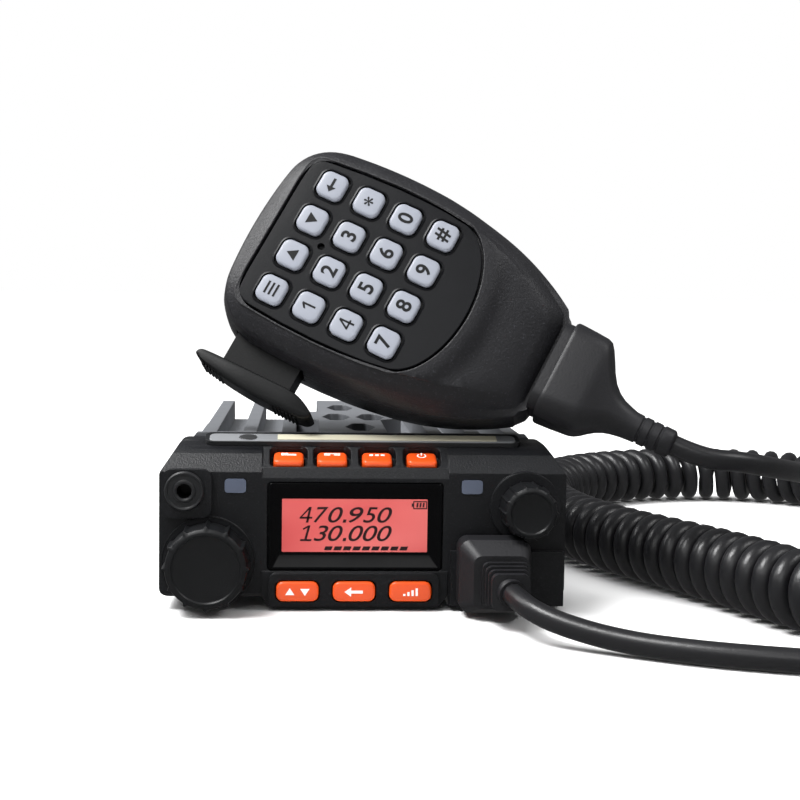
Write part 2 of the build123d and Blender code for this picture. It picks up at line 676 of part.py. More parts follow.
with BuildPart() as body_screws:
    for x, y in POSTS:
        with Locations(Location((x, y, 0.25))):
            Cone(2.5, 1.3, 1.3, align=(Align.CENTER, Align.CENTER, Align.MIN))
        with Locations((x, y, 0.8)):
            Cylinder(1.25, 8.6, align=(Align.CENTER, Align.CENTER, Align.MIN))
    with BuildSketch(TRIM_SEAT.offset(TRIM[2] - 0.35)):
        with Locations((TRIM_SCREW_X, 0)):
            Circle(2.05)
    extrude(amount=0.4)
save(body_screws, "body_screws")

# ---- microphone -----------------------------------------------------------------------------
mic_n = Vector(
    -math.sin(MIC_TURN) * math.cos(MIC_LEAN), -math.cos(MIC_TURN) * math.cos(MIC_LEAN), math.sin(MIC_LEAN)
)
level = Vector(math.cos(MIC_TURN), -math.sin(MIC_TURN), 0)
mic_u = level * math.cos(MIC_ROLL) - mic_n.cross(level) * math.sin(MIC_ROLL)
MIC = Plane(origin=MIC_ORIGIN, x_dir=mic_u, z_dir=mic_n)
mic_v = MIC.y_dir
OUT = Axis(MIC.origin, MIC.z_dir)
KEY_GRID = [
    ((column - 1.5) * KEY_PITCH, (row - 1.5) * KEY_PITCH) for column in range(4) for row in range(4)
]
KEY_NAMES = (
    "menu", "up", "down", "exit", "1", "2", "3", "star", "4", "5", "6", "0", "7", "8", "9", "hash"
)


def across(u, v, n):
    """A plane square to the microphone's long axis, with x across it and y out of its face."""
    origin = MIC.origin + MIC.x_dir * u + mic_v * v + MIC.z_dir * n
    return Plane(origin=origin, x_dir=mic_v, z_dir=MIC.x_dir)


def mic_outline(inset=0.0):
    """The microphone seen from its face: two bowed sides, a bowed top and a narrow cord end."""
    wide_u, wide_v = MIC_WIDEST
    top_r, upper_r, lower_r = (radius - inset for radius in (MIC_TOP_R, *MIC_SIDE_R))
    top_u = MIC_TOP_U + MIC_TOP_R
    upper_v = wide_v - MIC_SIDE_R[0]
    turn = math.asin((MIC_SIDE_TURN_U - wide_u) / MIC_SIDE_R[0])
    lower_u = wide_u + (MIC_SIDE_R[0] - MIC_SIDE_R[1]) * math.sin(turn)
    lower_v = upper_v + (MIC_SIDE_R[0] - MIC_SIDE_R[1]) * math.cos(turn)
    end = math.asin((MIC_END_U - inset - lower_u) / lower_r)
    # the corner between the top and a side is where their two circles cross
    apart = math.hypot(top_u - wide_u, upper_v)
    to_top = math.atan2(top_u - wide_u, -upper_v)
    corner = to_top - math.acos((apart**2 + upper_r**2 - top_r**2) / (2 * apart * upper_r))

    def on_side(centre_u, centre_v, radius, angle):
        return centre_u + radius * math.sin(angle), centre_v + radius * math.cos(angle)

    side = (
        on_side(wide_u, upper_v, upper_r, corner),
        on_side(wide_u, upper_v, upper_r, (corner + turn) / 2),
        on_side(wide_u, upper_v, upper_r, turn),
        on_side(lower_u, lower_v, lower_r, (turn + end) / 2),
        on_side(lower_u, lower_v, lower_r, end),
    )
    left = [(u, -v) for u, v in side]
    with BuildSketch(mode=Mode.PRIVATE) as shape:
        with BuildLine():
            ThreePointArc(left[0], (MIC_TOP_U + inset, 0), side[0])
            ThreePointArc(*side[:3])
            ThreePointArc(*side[2:])
            Line(side[4], left[4])
            ThreePointArc(*left[:1:-1])
            ThreePointArc(*left[2::-1])
        make_face()
        fillet(shape.vertices().group_by(Axis.X)[0], MIC_CORNER_R - inset)
    return shape.sketch


def above_face(drop):
    """A side view of what is cut away above the face, that much below it."""
    edge = [(u, n - drop) for u, n in MIC_FACE_DROP]
    return [*edge, (edge[-1][0] + 4, edge[-1][1]), (edge[-1][0] + 4, 3), (edge[0][0], 3)]


MIC_SIDE_VIEW = Plane(origin=MIC.origin, x_dir=MIC.x_dir, z_dir=-mic_v)
SLOT_U = sum(PTT_STEM_U) / 2
SLOT = (PTT_STEM_U[1] - PTT_STEM_U[0] + 0.8, 10.0)
SLOT_N = (PTT_STEM_N[0] - 0.4, PTT_STEM_N[1] + 0.4)

with BuildPart() as mic_hollow:
    with BuildSketch(MIC.offset(PART_N)):
        add(mic_outline(MIC_WALL))
    extrude(amount=-PART_N - 4.4)
    with BuildSketch(MIC.offset(PART_N)):
        add(mic_outline(4.6))
    extrude(amount=-PART_N - 2.2)
    with BuildSketch(MIC_SIDE_VIEW):
        with BuildLine():
            Polyline(*above_face(2.4), close=True)
        make_face()
    extrude(amount=40.0, both=True, mode=Mode.SUBTRACT)

with BuildPart() as mic_front_shell:
    with BuildSketch(MIC.offset(PART_N)):
        add(mic_outline(-MIC_FLARE))
    with BuildSketch(MIC.offset(-MIC_BEVEL[1])):
        add(mic_outline())
    loft(ruled=True)
    with BuildSketch(MIC.offset(-MIC_BEVEL[1])):
        add(mic_outline())
    with BuildSketch(MIC):
        add(mic_outline(MIC_BEVEL[0]))
    loft(ruled=True)
    with BuildSketch(MIC_SIDE_VIEW):
        with BuildLine():
            Polyline(*above_face(0), close=True)
        make_face()
    extrude(amount=40.0, both=True, mode=Mode.SUBTRACT)
    add(mic_hollow.part, mode=Mode.SUBTRACT)
    with BuildSketch(MIC):
        with Locations(*KEY_GRID):
            RectangleRounded(PAD_KEY + 2 * KEY_GAP, PAD_KEY + 2 * KEY_GAP, PAD_KEY_R + 0.2)
        with Locations((-KEY_PITCH, 0)):
            Circle(0.9)
    extrude(amount=-3.0, mode=Mode.SUBTRACT)
    with BuildSketch(MIC.offset(SLOT_N[0])):
        with Locations((SLOT_U, -29.0)):
            Rectangle(*SLOT)
    extrude(amount=SLOT_N[1] - SLOT_N[0], mode=Mode.SUBTRACT)
save(mic_front_shell, "mic_front_shell")

with BuildPart() as mic_back_shell:
    with BuildSketch(MIC.offset(PART_N)):
        add(mic_outline(-MIC_FLARE))
    extrude(amount=-12.0)
    with BuildSketch(MIC.offset(PART_N - 12.0)):
        add(mic_outline(-MIC_FLARE))
    with BuildSketch(MIC.offset(-25.5)):
        add(mic_outline(1.4))
    loft(ruled=True)
    with BuildSketch(MIC.offset(-25.5)):
        add(mic_outline(1.4))
    with BuildSketch(MIC.offset(BACK_N)):
        add(mic_outline(5.5))
    loft(ruled=True)
    with BuildSketch(MIC.offset(PART_N)):
        add(mic_outline(MIC_WALL - MIC_FLARE))
    extrude(amount=-12.0, mode=Mode.SUBTRACT)
    with BuildSketch(MIC.offset(PART_N)):
        add(mic_outline(5.0))
    extrude(amount=-14.6, mode=Mode.SUBTRACT)
    with BuildSketch(MIC.offset(SLOT_N[0])):
        with Locations((SLOT_U, -29.0)):
            Rectangle(*SLOT)
    extrude(amount=SLOT_N[1] - SLOT_N[0], mode=Mode.SUBTRACT)
save(mic_back_shell, "mic_back_shell")

for name, (key_u, key_v) in zip(KEY_NAMES, KEY_GRID):
    with BuildPart() as pad_key:
        with BuildSketch(MIC.offset(-4.2)):
            with Locations((key_u, key_v)):
                RectangleRounded(PAD_KEY, PAD_KEY, PAD_KEY_R)
        extrude(amount=5.1)
        fillet(pad_key.faces().sort_by(OUT)[-1].edges(), 0.5)
        with BuildSketch(MIC.offset(-4.2)):
            with Locations((key_u, key_v)):
                Rectangle(PAD_KEY + 1.4, PAD_KEY + 1.4)
        extrude(amount=0.8)
    save(pad_key, f"mic_key_{name}")

with BuildPart() as mic_board:
    with BuildSketch(MIC.offset(-12.6)) as board:
        add(mic_outline(5.0))
        with Locations((sum(PTT_STEM_U) / 2, -29.0)):
            Rectangle(24.0, 16.0, mode=Mode.SUBTRACT)
    extrude(amount=1.2)
save(mic_board, "mic_board")

with BuildPart() as mic_capsule:
    with BuildSketch(MIC.offset(-11.3)):
        with Locations((-KEY_PITCH, 0)):
            Circle(3.0)
    extrude(amount=4.2)
save(mic_capsule, "mic_capsule")

with BuildPart() as mic_boot:
    with BuildSketch(across(MIC_END_U + MIC_FLARE + 0.1, 0, NECK_N)):
        RectangleRounded(24.4, 13.6, 4.5)
    extrude(amount=3.0)
    for near, far in zip(BOOT_SECTIONS, BOOT_SECTIONS[1:]):
        for u, v, width, thickness, radius in (near, far):
            with BuildSketch(across(u, v, NECK_N)):
                RectangleRounded(width, thickness, radius)
        loft(ruled=True)
    with BuildSketch(across(BOOT_SECTIONS[-1][0] - 0.1, NECK_V, NECK_N)):
        Circle(NECK_R)
    extrude(amount=NECK_END_U - BOOT_SECTIONS[-1][0] + 0.1)
save(mic_boot, "mic_boot")

with BuildPart() as hanger_button:
    with BuildSketch(MIC.offset(BACK_N)):
        with Locations((2.0, 0)):
            Circle(3.4)
    extrude(amount=-3.0)
    with BuildSketch(MIC.offset(BACK_N - 3.0)):
        with Locations((2.0, 0)):
            Circle(7.0)
    extrude(amount=-2.4)
    fillet(hanger_button.faces().sort_by(OUT)[0].edges(), 0.8)
save(hanger_button, "hanger_button")

MIC_SCREWS = ((-16.0, 14.0), (-16.0, -14.0), (34.0, 0.0))
with BuildPart() as mic_screws:
    with BuildSketch(MIC.offset(BACK_N)):
        with Locations(*MIC_SCREWS):
            Circle(2.4)
    extrude(amount=-0.7)
save(mic_screws, "mic_screws")

with BuildPart() as ptt_button:
    with BuildSketch(MIC.offset(PTT_N[0])) as paddle:
        with BuildLine():
            Polyline((PTT_U[0] + 1.2, PTT_V[1] - 0.3), (PTT_U[0] + 6, PTT_V[1]), (-2.0, PTT_V[1]))
            ThreePointArc((-2.0, PTT_V[1]), (3.2, PTT_V[1] - 1.2), (PTT_U[1], PTT_V[1] - 3.2))
            ThreePointArc(
                (PTT_U[1], PTT_V[1] - 3.2), (PTT_U[1] - 0.4, PTT_V[1] - 4.6), (PTT_U[1] - 2.2, PTT_V[0] + 0.2)
            )
            ThreePointArc(
                (PTT_U[1] - 2.2, PTT_V[0] + 0.2), (-8.0, PTT_V[0]), (PTT_U[0] + 1.4, PTT_V[0] + 2.9)
            )
            ThreePointArc(
                (PTT_U[0] + 1.4, PTT_V[0] + 2.9), (PTT_U[0], PTT_V[1] - 1.4), (PTT_U[0] + 1.2, PTT_V[1] - 0.3)
            )
        make_face()
    extrude(amount=PTT_N[1] - PTT_N[0])
    with BuildSketch(MIC.offset(PTT_STEM_N[0])):
        with Locations((SLOT_U, PTT_V[1] - 0.5)):
            Rectangle(PTT_STEM_U[1] - PTT_STEM_U[0], 9.5, align=(Align.CENTER, Align.MIN))
    extrude(amount=PTT_STEM_N[1] - PTT_STEM_N[0])
save(ptt_button, "ptt_button")

# ---- plug and cord --------------------------------------------------------------------------
LEAD_ROUTE = [
    (33.0, -80.8, 8.7), (34.6, -87.4, 7.6), (39.6, -92.8, 5.6), (47.6, -97.8, 3.8), (57.2, -103.2, 2.7),
    (68.4, -109.3, 2.6), (80.0, -113.8, 2.6), (92.5, -117.6, 2.6), (106.0, -122.0, 2.6),
    (119.5, -127.2, 2.6), (132.5, -131.6, 2.6), (145.8, -134.9, 2.6), (159.0, -137.7, 2.6),
    (173.3, -140.2, 2.6), (186.3, -133.8, 2.6), (193.1, -121.0, 3.2), (191.1, -106.7, 5.0),
    (181.0, -96.2, 7.6), (166.77, -93.71, 9.5), (156.0, -99.0, 9.5),
]
RELIEF_X = 32.8
RELIEF_Z = 8.8
RELIEF_Y = -80.0
PLUG_BODY_Y = (-59.6, -70.5)

with BuildPart() as plug_boot:
    with BuildSketch(facing(PLUG_BODY_Y[0])):
        with Locations((SOCKET_X, 9.9)):
            RectangleRounded(17.0, 17.4, 2.6)
    extrude(amount=7.0)
    with BuildSketch(facing(PLUG_BODY_Y[0] - 7.0)):
        with Locations((SOCKET_X, 9.9)):
            RectangleRounded(17.0, 17.4, 2.6)
    with BuildSketch(facing(PLUG_BODY_Y[1])):
        with Locations((SOCKET_X + 1.0, 9.2)):
            RectangleRounded(13.0, 12.6, 2.0)
    loft(ruled=True)
    for step in range(4):
        with BuildSketch(facing(PLUG_BODY_Y[1] - 2.4 * step)):
            with Locations((RELIEF_X, RELIEF_Z)):
                RectangleRounded(11.2 - 0.8 * step, 10.8 - 0.8 * step, 1.6)
        extrude(amount=1.6 if step < 3 else PLUG_BODY_Y[1] - 2.4 * step - RELIEF_Y)
    with BuildSketch(facing(PLUG_BODY_Y[1])):
        with Locations((RELIEF_X, RELIEF_Z)):
            RectangleRounded(7.6, 7.2, 1.6)
    extrude(amount=PLUG_BODY_Y[1] - RELIEF_Y)
    # short collar square to the cord where it leaves
    with BuildSketch(Plane(origin=LEAD_ROUTE[0], z_dir=Vector(*LEAD_ROUTE[0]) - Vector(*LEAD_ROUTE[1]))):
        Circle(3.2)
    extrude(amount=4.0)
save(plug_boot, "plug_boot")

with BuildPart() as modular_plug:
    with Locations((SOCKET_X, PLUG_BODY_Y[0], SOCKET_Z)):
        Box(PLUG[0], 12.0, PLUG[1], align=(Align.CENTER, Align.MIN, Align.CENTER))
save(modular_plug, "modular_plug")

CURL_ROUTE = [
    (156.0, -99.0, 9.5), (144.8, -104.5, 9.5), (131.9, -106.1, 9.5), (119.3, -102.7, 9.5),
    (109.2, -94.8, 9.5), (102.6, -84.4, 9.5), (97.4, -71.0, 9.5), (92.4, -58.0, 9.5),
    (86.9, -45.5, 9.5), (80.4, -32.5, 9.5), (73.5, -19.0, 9.5), (67.5, -3.5, 9.5),
    (63.6, 14.0, 9.5), (62.0, 33.0, 9.5), (62.4, 53.0, 9.5), (65.6, 73.0, 9.5), (73.0, 92.0, 9.5),
    (85.0, 108.0, 9.5), (101.0, 119.5, 9.5), (119.0, 126.0, 9.5), (138.0, 127.5, 9.5),
    (155.0, 123.0, 9.5), (168.5, 112.5, 9.5), (176.5, 98.0, 9.5), (178.5, 81.5, 9.5),
    (175.5, 66.0, 9.5), (170.0, 53.5, 9.5),
]
neck_end = MIC.origin + MIC.x_dir * (NECK_END_U + 0.3) + mic_v * NECK_V + MIC.z_dir * NECK_N
after_neck = neck_end + MIC.x_dir * 8.0
TAIL_ROUTE = [
    tuple(neck_end), tuple(after_neck), (91.0, -59.3, 36.9), (101.5, -55.0, 34.7), (111.5, -45.5, 32.4),
    (120.5, -32.0, 29.6), (129.5, -17.0, 25.8), (138.0, -1.5, 20.8), (147.0, 14.5, 15.2),
    (156.5, 29.5, 11.0), (165.16, 42.5, 9.5), (170.0, 53.5, 9.5),
]


def bend_radii(route):
    """Each bend's radius: 0.45 of its shorter run, divided by the tangent of half its turn."""
    points = [Vector(*point) for point in route]
    radii = []
    for before, here, after in zip(points, points[1:], points[2:]):
        turn = math.radians((here - before).get_angle(after - here))
        shorter = min((here - before).length, (after - here).length)
        radii.append(0.45 * shorter / math.tan(turn / 2))
    return radii


def make_tube(route, diameter):
    with BuildPart() as tube:
        with BuildLine() as path:
            FilletPolyline(*route, radius=bend_radii(route))
        with BuildSketch(Plane(origin=path.line @ 0, z_dir=path.line % 0)):
            Circle(diameter / 2)
        sweep()
    length = path.wire().length
    error = tube.part.volume / (math.pi * diameter**2 / 4 * length) - 1
    print(f"tube length {length:.1f} volume error {error:.5f} radii", [round(r) for r in bend_radii(route)])
    return tube


save(make_tube(LEAD_ROUTE, WIRE_D), "cord_lead")
save(make_tube(CURL_ROUTE, CURL_D), "cord_curl")
save(make_tube(TAIL_ROUTE, WIRE_D), "cord_tail")
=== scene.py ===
import math

import bmesh
import bpy
from mathutils import Matrix, Vector


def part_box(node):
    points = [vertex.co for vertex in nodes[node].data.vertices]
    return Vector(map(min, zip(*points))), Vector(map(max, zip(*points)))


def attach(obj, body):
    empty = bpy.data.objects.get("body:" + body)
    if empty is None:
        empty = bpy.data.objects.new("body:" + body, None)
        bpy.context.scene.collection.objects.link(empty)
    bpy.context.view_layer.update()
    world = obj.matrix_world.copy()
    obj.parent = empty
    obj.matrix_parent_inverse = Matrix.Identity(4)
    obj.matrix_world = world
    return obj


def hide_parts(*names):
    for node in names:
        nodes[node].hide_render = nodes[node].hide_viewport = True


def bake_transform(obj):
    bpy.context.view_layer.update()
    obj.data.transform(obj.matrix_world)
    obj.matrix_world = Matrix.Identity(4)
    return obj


# Looks of a mobile transceiver with its keypad hand microphone and curly cord. Lengths are in
# millimetres in the part's own frame, and MM turns them into metres.

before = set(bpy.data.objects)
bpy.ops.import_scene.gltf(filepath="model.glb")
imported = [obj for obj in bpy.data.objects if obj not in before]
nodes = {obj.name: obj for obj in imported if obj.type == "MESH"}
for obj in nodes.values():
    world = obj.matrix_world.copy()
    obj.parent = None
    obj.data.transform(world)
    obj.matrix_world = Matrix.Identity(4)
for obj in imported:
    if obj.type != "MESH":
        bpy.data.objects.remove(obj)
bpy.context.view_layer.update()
MM = 0.001
scene = bpy.context.scene


# ---- small helpers ----------------------------------------------------------------------------
def link(obj):
    scene.collection.objects.link(obj)
    return obj


def place(obj, body, material, replaces=()):
    """Gives a new piece its body, its material and the nodes it stands for."""
    obj.data.materials.clear()
    obj.data.materials.append(material)
    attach(obj, body)
    if replaces:
        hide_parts(*replaces)
    return obj


def build(name, points, faces, smooth_angle=35):
    """A mesh object from points in millimetres."""
    mesh = bpy.data.meshes.new(name)
    mesh.from_pydata([tuple(c * MM for c in p) for p in points], [], faces)
    work = bmesh.new()
    work.from_mesh(mesh)
    bmesh.ops.remove_doubles(work, verts=work.verts, dist=1e-7)
    bmesh.ops.recalc_face_normals(work, faces=work.faces)
    work.to_mesh(mesh)
    work.free()
    shade(mesh, smooth_angle)
    return link(bpy.data.objects.new(name, mesh))


def shade(mesh, angle):
    mesh.polygons.foreach_set("use_smooth", [True] * len(mesh.polygons))
    mesh.set_sharp_from_angle(angle=math.radians(angle))
    mesh.update()


def skin(name, rings, smooth_angle=35):
    """A closed body through rings of equally many points, capped at both ends."""
    count = len(rings[0])
    points = [p for ring in rings for p in ring]
    faces = [tuple(range(count))]
    for k in range(len(rings) - 1):
        a, b = k * count, (k + 1) * count
        faces += [(a + i, a + (i + 1) % count, b + (i + 1) % count, b + i) for i in range(count)]
    faces.append(tuple(range(len(points) - count, len(points))))
    return build(name, points, faces, smooth_angle)


def rounded_rect(width, height, radius, corner_steps=8):
    """Points round a rectangle with rounded corners, centred on its own origin."""
    radius = min(radius, width / 2 - 1e-4, height / 2 - 1e-4)
    points = []
    for quarter, (sx, sy) in enumerate(((1, 1), (-1, 1), (-1, -1), (1, -1))):
        cx, cy = sx * (width / 2 - radius), sy * (height / 2 - radius)
        for i in range(corner_steps + 1):
            angle = math.pi / 2 * (quarter + i / corner_steps)
            points.append((cx + radius * math.cos(angle), cy + radius * math.sin(angle)))
    return points


def hoop(name, loops, smooth_angle=35):
    """A closed band through loops of equally many points, the last loop joined to the first."""
    turns, count = len(loops), len(loops[0])
    faces = []
    for k in range(turns):
        a, b = k * count, (k + 1) % turns * count
        faces += [(a + i, a + (i + 1) % count, b + (i + 1) % count, b + i) for i in range(count)]
    return build(name, [p for loop in loops for p in loop], faces, smooth_angle)


def circle(radius, count=64):
    angles = [2 * math.pi * i / count for i in range(count)]
    return [(radius * math.cos(a), radius * math.sin(a)) for a in angles]


def revolve(name, centre, profile, count=72, bumps=None, smooth_angle=35):
    """A body turned about an axis along Y through centre, which is (x, z).

    profile is a closed loop of (radius, y), or of (radius, y, 1) where bumps(angle) adds to the radius."""
    loops = []
    for i in range(count):
        angle = 2 * math.pi * i / count
        loop = []
        for radius, y, *bumpy in profile:
            reach = radius + (bumps(angle) if bumpy and bumpy[0] else 0)
            loop.append((centre[0] + reach * math.cos(angle), y, centre[1] + reach * math.sin(angle)))
        loops.append(loop)
    return hoop(name, loops, smooth_angle)


def cut(obj, cutter):
    """Takes the cutter's shape away from obj for good, and removes the cutter."""
    modifier = obj.modifiers.new("cut", "BOOLEAN")
    modifier.operation, modifier.solver, modifier.object = "DIFFERENCE", "EXACT", cutter
    bpy.context.view_layer.update()
    evaluated = obj.evaluated_get(bpy.context.evaluated_depsgraph_get())
    done = bpy.data.meshes.new_from_object(evaluated)
    obj.modifiers.clear()
    obj.data = done
    bpy.data.objects.remove(cutter)
    shade(obj.data, 35)


def join(name, objs):
    """One object from several."""
    work = bmesh.new()
    for obj in objs:
        work.from_mesh(obj.data)
    mesh = bpy.data.meshes.new(name)
    work.to_mesh(mesh)
    work.free()
    for obj in objs:
        bpy.data.objects.remove(obj)
    shade(mesh, 35)
    return link(bpy.data.objects.new(name, mesh))


# ---- camera, light and floor ------------------------------------------------------------------
camera = link(bpy.data.objects.new("camera", bpy.data.cameras.new("camera")))
camera.data.sensor_width = 36.0
camera.data.lens = 64.575
camera.data.clip_start, camera.data.clip_end = 0.01, 50.0
CAMERA_AT = Vector((-15.27, -399.87, 78.5)) * MM
CAMERA_RIGHT = Vector((0.99762, -0.06722, 0.01535)).normalized()
CAMERA_UP = Vector((-0.00987, 0.08108, 0.99666)).normalized()
CAMERA_BACK = CAMERA_RIGHT.cross(CAMERA_UP)
camera.matrix_world = Matrix.Translation(CAMERA_AT) @ Matrix(
    (CAMERA_RIGHT, CAMERA_UP, CAMERA_BACK)
).transposed().to_4x4()
scene.camera = camera


def area_light(name, at, target, size, power):
    """A white rectangular light at a place in metres, turned towards its target."""
    data = bpy.data.lights.new(name, "AREA")
    data.shape, data.size, data.size_y = "RECTANGLE", size[0], size[1]
    data.energy = power
    lamp = link(bpy.data.objects.new(name, data))
    lamp.location = at
    lamp.rotation_mode = "QUATERNION"
    lamp.rotation_quaternion = (Vector(target) - Vector(at)).to_track_quat("-Z", "Y")


area_light("key_light", (-0.42, -0.22, 0.85), (0, -0.05, 0.05), (0.5, 0.3), 10.5)
area_light("rim_light", (-0.75, 0.35, 0.7), (0, 0, 0.05), (0.6, 0.4), 4.0)
area_light("fill_light", (0.75, -0.35, 0.9), (0, 0, 0.05), (0.4, 0.3), 2.5)
area_light("front_light", (-0.25, -1.3, 1.0), (0, 0, 0.06), (1.0, 0.5), 3.6)
sky_data = bpy.data.lights.new("overhead_light", "SUN")
sky_data.energy, sky_data.angle = 3.45, math.radians(60)
sky = link(bpy.data.objects.new("overhead_light", sky_data))
sky.visible_glossy = False
sky.rotation_mode = "QUATERNION"
sky.rotation_quaternion = Vector((0.25, -0.3, -1.0)).to_track_quat("-Z", "Y")

# the surroundings look white to the camera, but light the object only softly
LIT_BY_SURROUNDINGS, SEEN_SURROUNDINGS = 0.16, 1.0
world = bpy.data.worlds.new("studio")
world.use_nodes = True
world_tree = world.node_tree
surround = world_tree.nodes["Background"]
surround.inputs["Color"].default_value = (1, 1, 1, 1)
seen = world_tree.nodes.new("ShaderNodeLightPath")
level = world_tree.nodes.new("ShaderNodeMapRange")
level.inputs["To Min"].default_value = LIT_BY_SURROUNDINGS
level.inputs["To Max"].default_value = SEEN_SURROUNDINGS
world_tree.links.new(seen.outputs["Is Camera Ray"], level.inputs["Value"])
world_tree.links.new(level.outputs["Result"], surround.inputs["Strength"])
scene.world = world
scene.view_settings.view_transform = "Standard"

FLOOR_HALF, FLOOR_Z = 9, -0.0002  # metres
floor_corners = [(x * FLOOR_HALF, y * FLOOR_HALF, FLOOR_Z) for x, y in ((-1, -1), (1, -1), (1, 1), (-1, 1))]
floor_mesh = bpy.data.meshes.new("floor")
floor_mesh.from_pydata(floor_corners, [], [(0, 1, 2, 3)])
floor = link(bpy.data.objects.new("floor", floor_mesh))
floor.visible_glossy = False


# ---- materials --------------------------------------------------------------------------------
def rgb(code):
    """Linear colour from an sRGB hex code."""
    out = []
    for k in (0, 2, 4):
        c = int(code[k:k + 2], 16) / 255
        out.append(c / 12.92 if c <= 0.04045 else ((c + 0.055) / 1.055) ** 2.4)
    return (*out, 1.0)


BLOTCH = 9.0  # size of the soft mottling on every finish


def material(name, colour, roughness, grain, bump, mottle=0.06, rough_spread=0.08, metallic=0.0,
             coat=0.0, specular=0.5, fleck=None, bevel=0.0):
    """A finish with fine grain in its relief, soft colour mottling and uneven gloss.

    grain is the size of the relief in millimetres and bump its height in hundredths of one.
    fleck is the colour of small specks, and bevel rounds the look of edges by so many millimetres."""
    made = bpy.data.materials.new(name)
    made.use_nodes = True
    tree = made.node_tree
    shader = tree.nodes["Principled BSDF"]
    shader.inputs["Metallic"].default_value = metallic
    shader.inputs["Coat Weight"].default_value = coat
    shader.inputs["Coat Roughness"].default_value = 0.12
    shader.inputs["Specular IOR Level"].default_value = specular
    coords = tree.nodes.new("ShaderNodeTexCoord")

    def noise(size, detail):
        node = tree.nodes.new("ShaderNodeTexNoise")
        node.inputs["Scale"].default_value = 1 / (size * MM)
        node.inputs["Detail"].default_value = detail
        node.inputs["Roughness"].default_value = 0.55
        tree.links.new(coords.outputs["Object"], node.inputs["Vector"])
        return node.outputs["Fac"]

    broad = noise(BLOTCH, 4.0)
    fine = noise(grain, 3.0)
    tint = tree.nodes.new("ShaderNodeMix")
    tint.data_type = "RGBA"
    base = rgb(colour)
    tint.inputs["A"].default_value = [c * (1 - mottle) for c in base[:3]] + [1]
    tint.inputs["B"].default_value = [min(1, c * (1 + mottle)) for c in base[:3]] + [1]
    tree.links.new(broad, tint.inputs["Factor"])
    result = tint.outputs["Result"]
    if fleck:
        speck = tree.nodes.new("ShaderNodeMapRange")
        speck.inputs["From Min"].default_value, speck.inputs["From Max"].default_value = 0.62, 0.74
        tree.links.new(noise(grain * 0.8, 2.0), speck.inputs["Value"])
        over = tree.nodes.new("ShaderNodeMix")
        over.data_type = "RGBA"
        over.inputs["B"].default_value = rgb(fleck)
        tree.links.new(result, over.inputs["A"])
        tree.links.new(speck.outputs["Result"], over.inputs["Factor"])
        result = over.outputs["Result"]
    tree.links.new(result, shader.inputs["Base Color"])
    gloss = tree.nodes.new("ShaderNodeMapRange")
    gloss.inputs["To Min"].default_value = max(0.02, roughness - rough_spread)
    gloss.inputs["To Max"].default_value = min(1.0, roughness + rough_spread)
    tree.links.new(broad, gloss.inputs["Value"])
    tree.links.new(gloss.outputs["Result"], shader.inputs["Roughness"])
    relief = tree.nodes.new("ShaderNodeBump")
    relief.inputs["Strength"].default_value = 0.6
    relief.inputs["Distance"].default_value = bump * 0.01 * MM
    tree.links.new(fine, relief.inputs["Height"])
    if bevel:
        soft = tree.nodes.new("ShaderNodeBevel")
        soft.samples = 4
        soft.inputs["Radius"].default_value = bevel * MM
        tree.links.new(soft.outputs["Normal"], relief.inputs["Normal"])
    tree.links.new(relief.outputs["Normal"], shader.inputs["Normal"])
    return made


CAST = material("cast_satin_paint", "66686c", 0.42, grain=0.7, bump=4, mottle=0.05, bevel=0.5)
PANEL = material("panel_texture", "121316", 0.42, grain=0.45, bump=17, mottle=0.12, specular=0.4,
                 fleck="2b2c30", bevel=0.35)
TRIM = material("trim_paint", "7d7f82", 0.4, grain=0.5, bump=1.5, mottle=0.04, bevel=0.2)
LENS = material("display_lens", "050506", 0.18, grain=6, bump=0.5, mottle=0.1, specular=0.14)
LED = material("indicator_lens", "4d5464", 0.22, grain=1.2, bump=1.0, mottle=0.12, coat=0.5)
JACK = material("jack_rubber", "1a1b1d", 0.42, grain=0.5, bump=3, bevel=0.2)
BOARD = material("solder_mask", "1f5134", 0.4, grain=1.0, bump=3, mottle=0.2)
CONE = material("speaker_cone", "1c1c1f", 0.8, grain=0.6, bump=12)
BLACK = material("moulded_black", "1b1c1e", 0.5, grain=0.5, bump=5, bevel=0.2)
NICKEL = material("nickel_plate", "b8b6b0", 0.28, grain=0.6, bump=1.5, metallic=1.0, mottle=0.08, bevel=0.15)
STEEL = material("zinc_steel", "9fa1a4", 0.34, grain=0.4, bump=2, metallic=1.0, mottle=0.1, bevel=0.15)
KNOB = material("knob_satin", "101113", 0.4, grain=0.35, bump=5, mottle=0.08, specular=0.4, bevel=0.3)
CORD = material("cord_jacket", "1a1a1c", 0.34, grain=0.6, bump=7, mottle=0.1, rough_spread=0.06)
CLEAR = material("clear_plug", "cfd6d8", 0.1, grain=2, bump=1)
MIC = material("mic_case", "1b1b1e", 0.44, grain=0.55, bump=24, mottle=0.12, specular=0.42,
               fleck="34353a")
MIC_PAD = material("mic_keypad_panel", "0b0c0f", 0.36, grain=0.5, bump=4, mottle=0.15, specular=0.2)
BOOT = material("boot_rubber", "19191c", 0.48, grain=0.6, bump=9, mottle=0.12)
PTT = material("ptt_satin", "08090a", 0.5, grain=0.5, bump=4, mottle=0.1, specular=0.22)
ORANGE = material("orange_key", "e24f14", 0.36, grain=0.5, bump=2, mottle=0.05, coat=0.1)
PAD_KEY = material("pad_key", "888c96", 0.42, grain=0.5, bump=2, mottle=0.03, coat=0.1)
INK = material("dark_print", "08090b", 0.55, grain=0.4, bump=2, mottle=0.1, specular=0.25)
WHITE_INK = material("white_print", "f3f3f1", 0.5, grain=0.4, bump=2, mottle=0.02)
LABEL = material("cream_label", "c9c4ae", 0.5, grain=0.6, bump=3, mottle=0.05)
LCD_INK = material("lcd_segments", "2a1214", 0.4, grain=0.6, bump=1, mottle=0.15)
